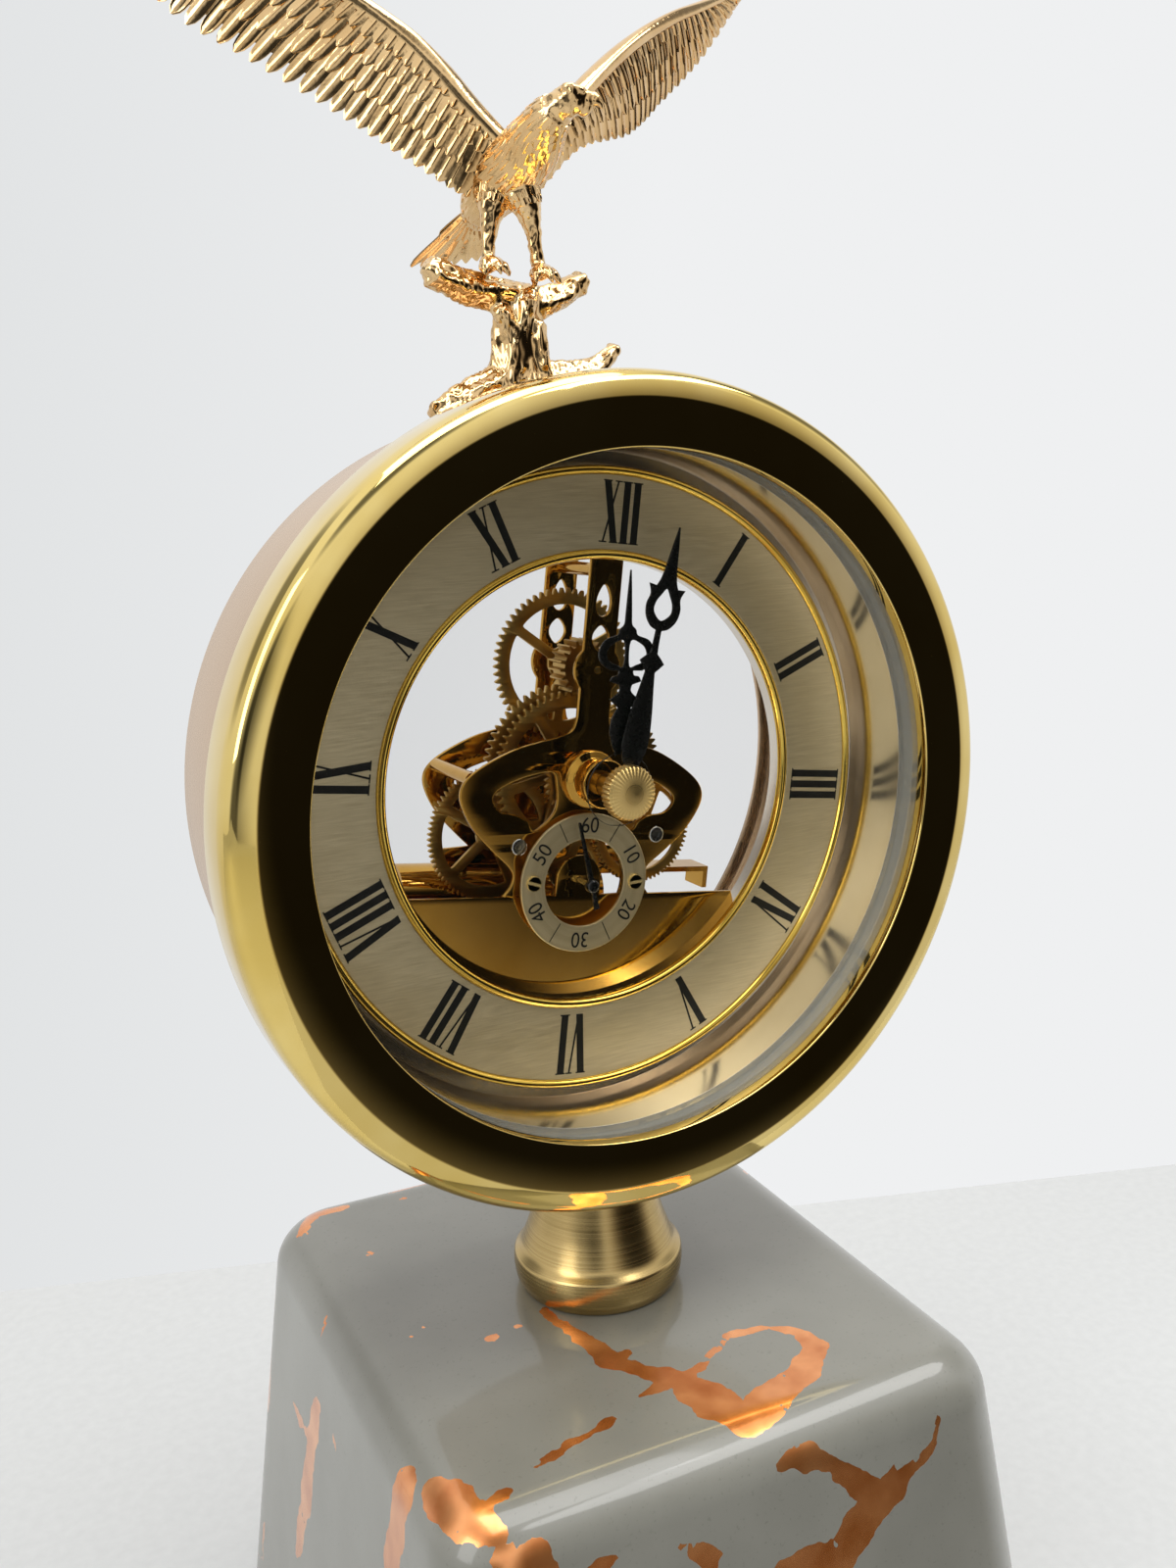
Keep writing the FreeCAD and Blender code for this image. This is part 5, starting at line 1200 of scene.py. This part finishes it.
def eagle_core():
    shapes = [limb(TORSO, 34, 28, squash=0.95), limb(SKULL, 18, 22, squash=0.92),
              limb(BEAK, 14, 16, squash=0.75),
              limb(LEFT_LEG, 24, 20, 5, 0.05), limb(RIGHT_LEG, 24, 20, 5, 0.05)]
    for side in (-1, 1):
        brow = [(-0.9 + 3.1 * side, -24.6, 36.5, 0.9), (-0.8 + 3.0 * side, -27.2, 36.5, 1.0),
                (-0.6 + 1.9 * side, -29.6, 35.5, 0.5)]
        shapes.append(limb(turned_head(brow), 10, 10))
        eye = turned_head([(-0.8 + 3.3 * side, -27.2, 34.9)])[0]
        shapes.append(ball(eye, 0.8))
    lower_bill = [(-0.6, -27.0, 32.0, 1.9), (-0.1, -29.2, 32.0, 1.2), (0.1, -30.6, 31.9, 0.5)]
    shapes.append(limb(turned_head(lower_bill), 8, 10))
    for x, y, z in ((-11.3, -3.2, 0.2), (0.1, -7.2, -1.8)):
        shapes.append(ball((x, y, z), 2.3, (1.1, 1.1, 0.8)))
        for dx, dy, length in ((-0.55, -0.83, 4.4), (0.1, -1.0, 4.8), (0.72, -0.7, 4.2), (0.2, 0.98, 3.6)):
            shapes.append(claw(x, y, z, dx, dy, length))
    return fused(shapes, 0.5, down)


def feather(surface, start, end, half_width, lift, thick, raise_tip, steps=7, slim=0.62):
    """Leaf-shaped feather laid on a surface: rounded tip, central quill, edges lower than the quill."""
    across = (-1.0, -0.6, -0.12, 0.0, 0.12, 0.6, 1.0)
    quill, camber, full_width, tip_start, tip = 0.14, 0.066, 0.6, 0.68, 0.325
    upper, lower = [], []
    for k in range(steps + 1):
        u = k / steps
        width = slim + (1 - slim) * math.sin(min(1.0, u / full_width) * math.pi / 2)
        if u > tip_start:
            width *= math.sqrt(max(0.0, 1 - ((u - tip_start) / tip) ** 2))
        middle, normal, side = surface(start[0] + (end[0] - start[0]) * u, start[1] + (end[1] - start[1]) * u)
        for v in across:
            crown = lift + raise_tip * u + camber * (1 - v * v) * half_width + (quill if v == 0.0 else 0.0)
            p = middle + side * (half_width * width * v) + normal * crown
            upper.append(tuple(p))
            lower.append(tuple(p - normal * thick))
    return upper + lower, slab(steps + 1, len(across))


def tapered_surface(run, share):
    """Surface of a limb for feathers: s round it, t along it from the far end back."""
    def surface(s, t):
        at = max(0.0, min(1.0, 1 - t))
        here = run_point(run, at)
        along = run_direction(run, at, 0.03)
        up = Vector((0, 0, 1))
        up = (up - along * up.dot(along)).normalized()
        right = along.cross(up)
        angle = 2 * math.pi * s
        normal = (right * math.cos(angle) + up * math.sin(angle)).normalized()
        side = (up * math.cos(angle) - right * math.sin(angle)).normalized()
        return here.xyz + normal * (here[3] * share), normal, side
    return surface


def feather_ring(run, share, k, t0, reach, least, pitch, overlap, lift, wander=0.0):
    """Feathers side by side round a limb, every other ring half a feather on."""
    surface = tapered_surface(run, share)
    round_it = 2 * math.pi * run_point(run, 1 - t0)[3]
    count = max(least, int(round_it / pitch))
    shapes = []
    for i in range(count):
        s = (i + 0.5 * (k % 2)) / count
        jitter = wander * noise.noise(Vector((s * 9, t0 * 9, 3.3)))
        shapes.append(feather(surface, (s, t0), (s + jitter, min(0.99, t0 + reach)),
                              round_it / count * overlap, lift, 0.3, 0.30 if wander else 0.35, 5))
    return shapes


def body_feathers():
    """Shingled feathers over breast, back and nape, tips towards the tail, and two rings on each thigh."""
    shapes = []
    rings = 15
    for k in range(rings):
        shapes += feather_ring(TORSO, 0.985, k, 0.08 + 0.80 * k / (rings - 1), 0.105, 9, 2.7, 0.62,
                               -0.16, 0.01)
    for leg in (LEFT_LEG, RIGHT_LEG):
        for k in range(2):
            shapes += feather_ring(leg, 1.0, k, 0.92 - 0.085 * k, -0.13, 7, 2.4, 0.6, -0.1)
    return shapes


def tail_surface(s, t):
    front = Vector((-4.5, 10.0, 15.5)).lerp(Vector((0.0, 27.0, 5.2)), t)
    back = Vector((-9.0, 12.0, 17.5)).lerp(Vector((-20.2, 31.0, 3.0)), t)
    middle = front.lerp(back, s)
    normal = (back - front).cross(Vector((-3.0, 17.0, -12.0))).normalized()
    if normal.y > 0:
        normal = -normal
    return middle, normal, (back - front).normalized()


def tail_feathers():
    shapes = []
    for face in (1, -1):
        def surface(s, t):
            middle, normal, side = tail_surface(s, t)
            return middle + normal * (0.15 * face), normal * face, side
        for k in range(7):
            reach = 0.97 - 0.05 * abs(k - 3) / 3
            shapes.append(feather(surface, (0.35 + 0.3 * k / 6, 0.0), (0.06 + 0.88 * k / 6, reach), 1.9,
                                  0.05 + 0.12 * (k % 2), 0.45, 0.1, 10, 0.5))
        for k in range(6):
            shapes.append(feather(surface, (0.4 + 0.2 * k / 5, 0.0), (0.12 + 0.76 * k / 5, 0.52), 1.9,
                                  0.5, 0.4, 0.2, 6, 0.6))
    return shapes


build("eagle_body_cast", [eagle_core()] + body_feathers(), perch_place, CAST, "stand", ["eagle_body"],
      60)
build("eagle_tail_cast", tail_feathers(), perch_place, CAST, "stand", ["eagle_tail"], 60)

# wings: a bone along the leading edge, a thin web, and rows of feathers on both faces
LEFT_LEAD = [(-4.0, -5.0, 29.0), (-12.0, -1.0, 38.5), (-21.7, 3.9, 51.6), (-33.5, 9.9, 61.9),
             (-52.0, 19.0, 75.0), (-72.0, 29.0, 87.5), (-90.5, 38.5, 96.0)]
LEFT_TRAIL = [(-8.0, 2.0, 14.5), (-17.0, 2.0, 18.0), (-29.0, 7.8, 27.0), (-42.0, 14.5, 37.0),
              (-59.6, 23.2, 49.5), (-76.2, 31.7, 62.0), (-88.0, 37.2, 82.0)]
RIGHT_LEAD = [(2.0, -6.0, 30.0), (14.8, -0.1, 43.4), (36.8, 11.1, 60.5), (56.0, 21.0, 71.5),
              (73.5, 29.8, 79.4), (93.0, 39.0, 88.5)]
RIGHT_TRAIL = [(2.0, 0.0, 16.5), (16.0, 0.5, 29.5), (35.7, 10.6, 36.5), (50.0, 18.0, 47.0),
               (70.0, 28.5, 63.0), (89.0, 37.5, 83.0)]


def curve_point(points, at):
    run = [(x, y, z, 0.0) for x, y, z in points]
    return Vector(run_point(run, max(0.0, min(1.0, at)))[:3])


def wing_surface(lead, trail, face):
    """Point, outward normal and spanwise direction of one face of a wing."""
    def at(s, t):
        p = curve_point(lead, s).lerp(curve_point(trail, s), t)
        return p + Vector((0.5, -1.3, -0.3)) * (4 * t * (1 - t) * (1 - 0.6 * max(0.0, min(1.0, s))))

    def surface(s, t):
        middle = at(s, t)
        span = at(min(1.0, s + 0.02), t) - at(max(0.0, s - 0.02), t)
        chord = at(s, min(1.0, t + 0.03)) - at(s, max(0.0, t - 0.03))
        normal = span.cross(chord).normalized()
        if normal.y > 0:
            normal = -normal
        half = 1.1 * (1 - s) ** 1.5 + 0.25
        normal = normal * face
        return middle + normal * half * (1 - 0.7 * t), normal, span.normalized()
    return surface


def wing_web(lead, trail):
    """Closed thin web that carries the feathers, short of their tips."""
    rows, columns = 41, 11
    points = [tuple(surface(0.985 * k / (rows - 1), 0.84 * i / (columns - 1))[0])
              for surface in (wing_surface(lead, trail, 1), wing_surface(lead, trail, -1))
              for k in range(rows) for i in range(columns)]
    return points, slab(rows, columns)


# from the trailing edge to the bone: feathers, first and last place along the span, root and tip along the
# chord, sweep, half width, lift, rise of the tip, thickness, width at the root, steps
WING_ROWS = (
    (31, 0.04, 0.94, 0.42, 1.0, 0.06, 2.3, -0.1, 0.2, 0.55, 0.7, 11),
    (31, 0.035, 0.95, 0.26, 0.74, 0.06, 2.15, 0.2, 0.3, 0.4, 0.62, 7),
    (33, 0.03, 0.96, 0.15, 0.50, 0.05, 1.95, 0.42, 0.3, 0.4, 0.62, 7),
    (35, 0.02, 0.96, 0.05, 0.30, 0.04, 1.8, 0.65, 0.3, 0.4, 0.62, 7))


def wing_row(surface, seed, deep, count, first, last, t0, t1, sweep, width, lift, rise, thick, slim, steps):
    shapes = []
    for k in range(count):
        share = k / (count - 1)
        s = first + (last - first) * share
        wobble = noise.noise(Vector((k * 1.7, seed, 0.5)))
        end = (min(0.995, s + sweep * (0.4 + 0.6 * share)), min(1.0, t1 + 0.03 * wobble))
        half_width = width * (1.0 - 0.25 * share) * (1 + 0.12 * wobble)
        height = (lift * deep if lift > 0 else lift) + 0.08 * (k % 2)
        shapes.append(feather(surface, (s, t0), end, half_width, height, thick, rise * deep, steps, slim))
    return shapes


def wing_shapes(lead, trail, seed, near_relief=1.0):
    """near_relief below 1 flattens the rows on the face towards the viewer."""
    bone = []
    for k in range(12):
        p = curve_point(lead, k / 11)
        q = curve_point(trail, k / 11)
        radius = 2.3 * (1 - k / 11) ** 0.8 + 0.75
        bone.append((*(p + (q - p).normalized() * radius * 0.9), radius))
    shapes = [wing_web(lead, trail), limb(bone, 60, 18, 3, 0.06, 9.0)]
    for face in (1, -1):
        surface = wing_surface(lead, trail, face)
        for k, row in enumerate(WING_ROWS, 1):
            shapes += wing_row(surface, seed + k * face, near_relief if face > 0 else 1.0, *row)
    return shapes


build("eagle_left_wing_cast", wing_shapes(LEFT_LEAD, LEFT_TRAIL, 11.0), perch_place, CAST, "stand",
      ["eagle_left_wing"], 60)
build("eagle_right_wing_cast", wing_shapes(RIGHT_LEAD, RIGHT_TRAIL, 27.0, 0.15), perch_place, CAST, "stand",
      ["eagle_right_wing"], 60)

# ---------------------------------------------------------------- floor
def studio_paper(name, camera_only=False):
    """Pale matt paper. The camera's own paper lets all other light through: metal sees the dark room."""
    material, tree, shader, place = finish_start(name, {"Roughness": 0.8, "Specular IOR Level": 0.2})
    fibre = add(tree, "TexNoise", {"Vector": place, "Scale": grains(4), "Detail": 4.0})
    shade = add(tree, "ValToRGB", {"Fac": fibre}, ((0.3, colour("#D3D4D3")), (0.7, colour("#D8D9D8"))))
    plug(shader, {"Base Color": shade,
                  "Normal": add(tree, "Bump", {"Height": fibre, "Strength": 0.3, "Distance": 0.08 * MM})})
    if camera_only:
        seen = add(tree, "LightPath").outputs["Is Camera Ray"]
        mix = add(tree, "MixShader", {"Fac": seen, 1: add(tree, "BsdfTransparent"), 2: shader})
        plug(tree.nodes["Material Output"], {"Surface": mix})
    return material


def paper_sheet(name, corners, faces, material):
    mesh = bpy.data.meshes.new(name)
    mesh.from_pydata([tuple(p) for p in corners], [], faces)
    mesh.materials.append(material)
    sheet = bpy.data.objects.new(name, mesh)
    bpy.context.scene.collection.objects.link(sheet)


def studio_floor():
    left_back = floor_point(0, 1318)
    right_back = floor_point(1200, 1188)
    run = (right_back - left_back).normalized()
    a = left_back - run * 1.6
    b = right_back + run * 0.6
    front_right = floor_point(1200, 1600)
    c = Vector((b.x, front_right.y - 0.05, 0.0))
    d = Vector((a.x - 0.5, -1.2, 0.0))
    e = Vector((-0.35, -1.2, 0.0))
    f = Vector((-0.12, front_right.y - 0.08, 0.0))
    paper_sheet("studio_floor", (a, d, e, f, c, b), [(0, 1, 2), (0, 2, 3), (0, 3, 4), (0, 4, 5)],
                studio_paper("studio_paper_matt_white"))
    # the floor goes on in front and at the right, a hair lower, for views from other sides
    far = b + run * 3.0
    outer = [(-3.0, -3.0), (far.x, -3.0), (far.x, c.y), (-3.0, c.y), (c.x, c.y), (far.x, far.y), (b.x, b.y)]
    paper_sheet("studio_floor_outer", [(x, y, -0.00005) for x, y in outer], [(0, 1, 2, 3), (4, 2, 5, 6)],
                studio_paper("studio_paper_camera_only", True))


studio_floor()


# ---------------------------------------------------------------- studio light
def studio_world():
    """Pale room for the camera. Polished metal sees it too, with its dark end in front at the right."""
    world = bpy.data.worlds.new("studio")
    bpy.context.scene.world = world
    world.use_nodes = True
    tree = world.node_tree
    tree.nodes.clear()
    way = add(tree, "TexCoord").outputs["Generated"]

    def lobe(aim, near, far):
        """1 inside a cone about a direction, fading to 0; near and far in degrees."""
        dot = add(tree, "VectorMath", {0: way, 1: tuple(Vector(aim).normalized())}, operation="DOT_PRODUCT")
        return add(tree, "MapRange", {"Value": dot, "From Min": math.cos(math.radians(far)),
                                      "From Max": math.cos(math.radians(near))},
                                      interpolation_type="SMOOTHSTEP")

    def dimmed(light, lobe_here, least):
        keep = add(tree, "MapRange", {"Value": lobe_here, "To Min": 1.0, "To Max": least})
        return add(tree, "Math", {0: light, 1: keep}, operation="MULTIPLY")

    # the room: brighter overhead, darker low down, with its dark end in front at the right
    height = add(tree, "SeparateXYZ", {"Vector": way}).outputs["Z"]
    room = add(tree, "MapRange", {"Value": height, "From Min": -0.5, "From Max": 0.9, "To Min": 0.72,
                                  "To Max": 1.12})
    dark = lobe((0.52, -0.85, -0.06), 17, 46)
    room = dimmed(room, dark, 0.012)
    # lesser dark things: a screen at the left, the camera with its stand, gaps between the lamps
    for aim, near, far, least in (((-0.72, -0.64, -0.26), 12, 34, 0.14), ((-0.50, -0.83, 0.12), 5, 18, 0.10),
                                  ((-0.25, -0.55, 0.80), 8, 24, 0.18), ((0.80, 0.10, 0.58), 8, 26, 0.25),
                                  ((-0.60, 0.66, 0.45), 8, 24, 0.30)):
        room = dimmed(room, lobe(aim, near, far), least)
    white = (1.0, 1.0, 1.0, 1.0)
    warm = add(tree, "Mix", {"Factor": dark, "A": white, "B": (1.0, 0.86, 0.70, 1.0)}, data_type="RGBA")
    mirrored_room = add(tree, "Background", {"Color": warm, "Strength": room})
    even = add(tree, "Background", {"Color": white, "Strength": 0.61})
    # what the camera sees, also through the glass: a wall with painted shade, darker at the left
    side = add(tree, "VectorMath", {0: way, 1: tuple(level_right)}, operation="DOT_PRODUCT")
    shift = add(tree, "MapRange", {"Value": side, "From Min": -0.45, "From Max": 0.05})
    shade = add(tree, "ValToRGB", {"Fac": shift}, ((0.0, colour("#DFE1E2")), (1.0, colour("#EFF0F1"))))
    wall = add(tree, "Background", {"Color": shade})
    ray = add(tree, "LightPath").outputs
    seen = add(tree, "Math", {0: ray["Is Camera Ray"], 1: ray["Is Transmission Ray"]}, operation="MAXIMUM")
    lit = add(tree, "MixShader", {"Fac": ray["Is Diffuse Ray"], 1: mirrored_room, 2: even})
    add(tree, "OutputWorld", {"Surface": add(tree, "MixShader", {"Fac": seen, 1: lit, 2: wall})})


def softbox(name, place, aim, size, power):
    data = bpy.data.lights.new(name, "AREA")
    data.shape = "RECTANGLE"
    data.size, data.size_y = size
    data.energy = power
    lamp = bpy.data.objects.new(name, data)
    lamp.location = place
    lamp.rotation_euler = (Vector(aim) - Vector(place)).to_track_quat("-Z", "Y").to_euler()
    bpy.context.scene.collection.objects.link(lamp)


studio_world()
softbox("softbox_overhead", (0.0, -0.15, 1.25), (0.0, 0.0, 0.2), (0.9, 0.7), 7.0)
softbox("softbox_window", (0.54, -0.43, 1.13), (0.0, -0.09, 0.13), (0.9, 0.25), 4.0)
softbox("softbox_left", (-1.1, -0.35, 0.75), (0.0, 0.0, 0.25), (0.5, 0.8), 4.0)
bpy.context.scene.view_settings.view_transform = "Standard"
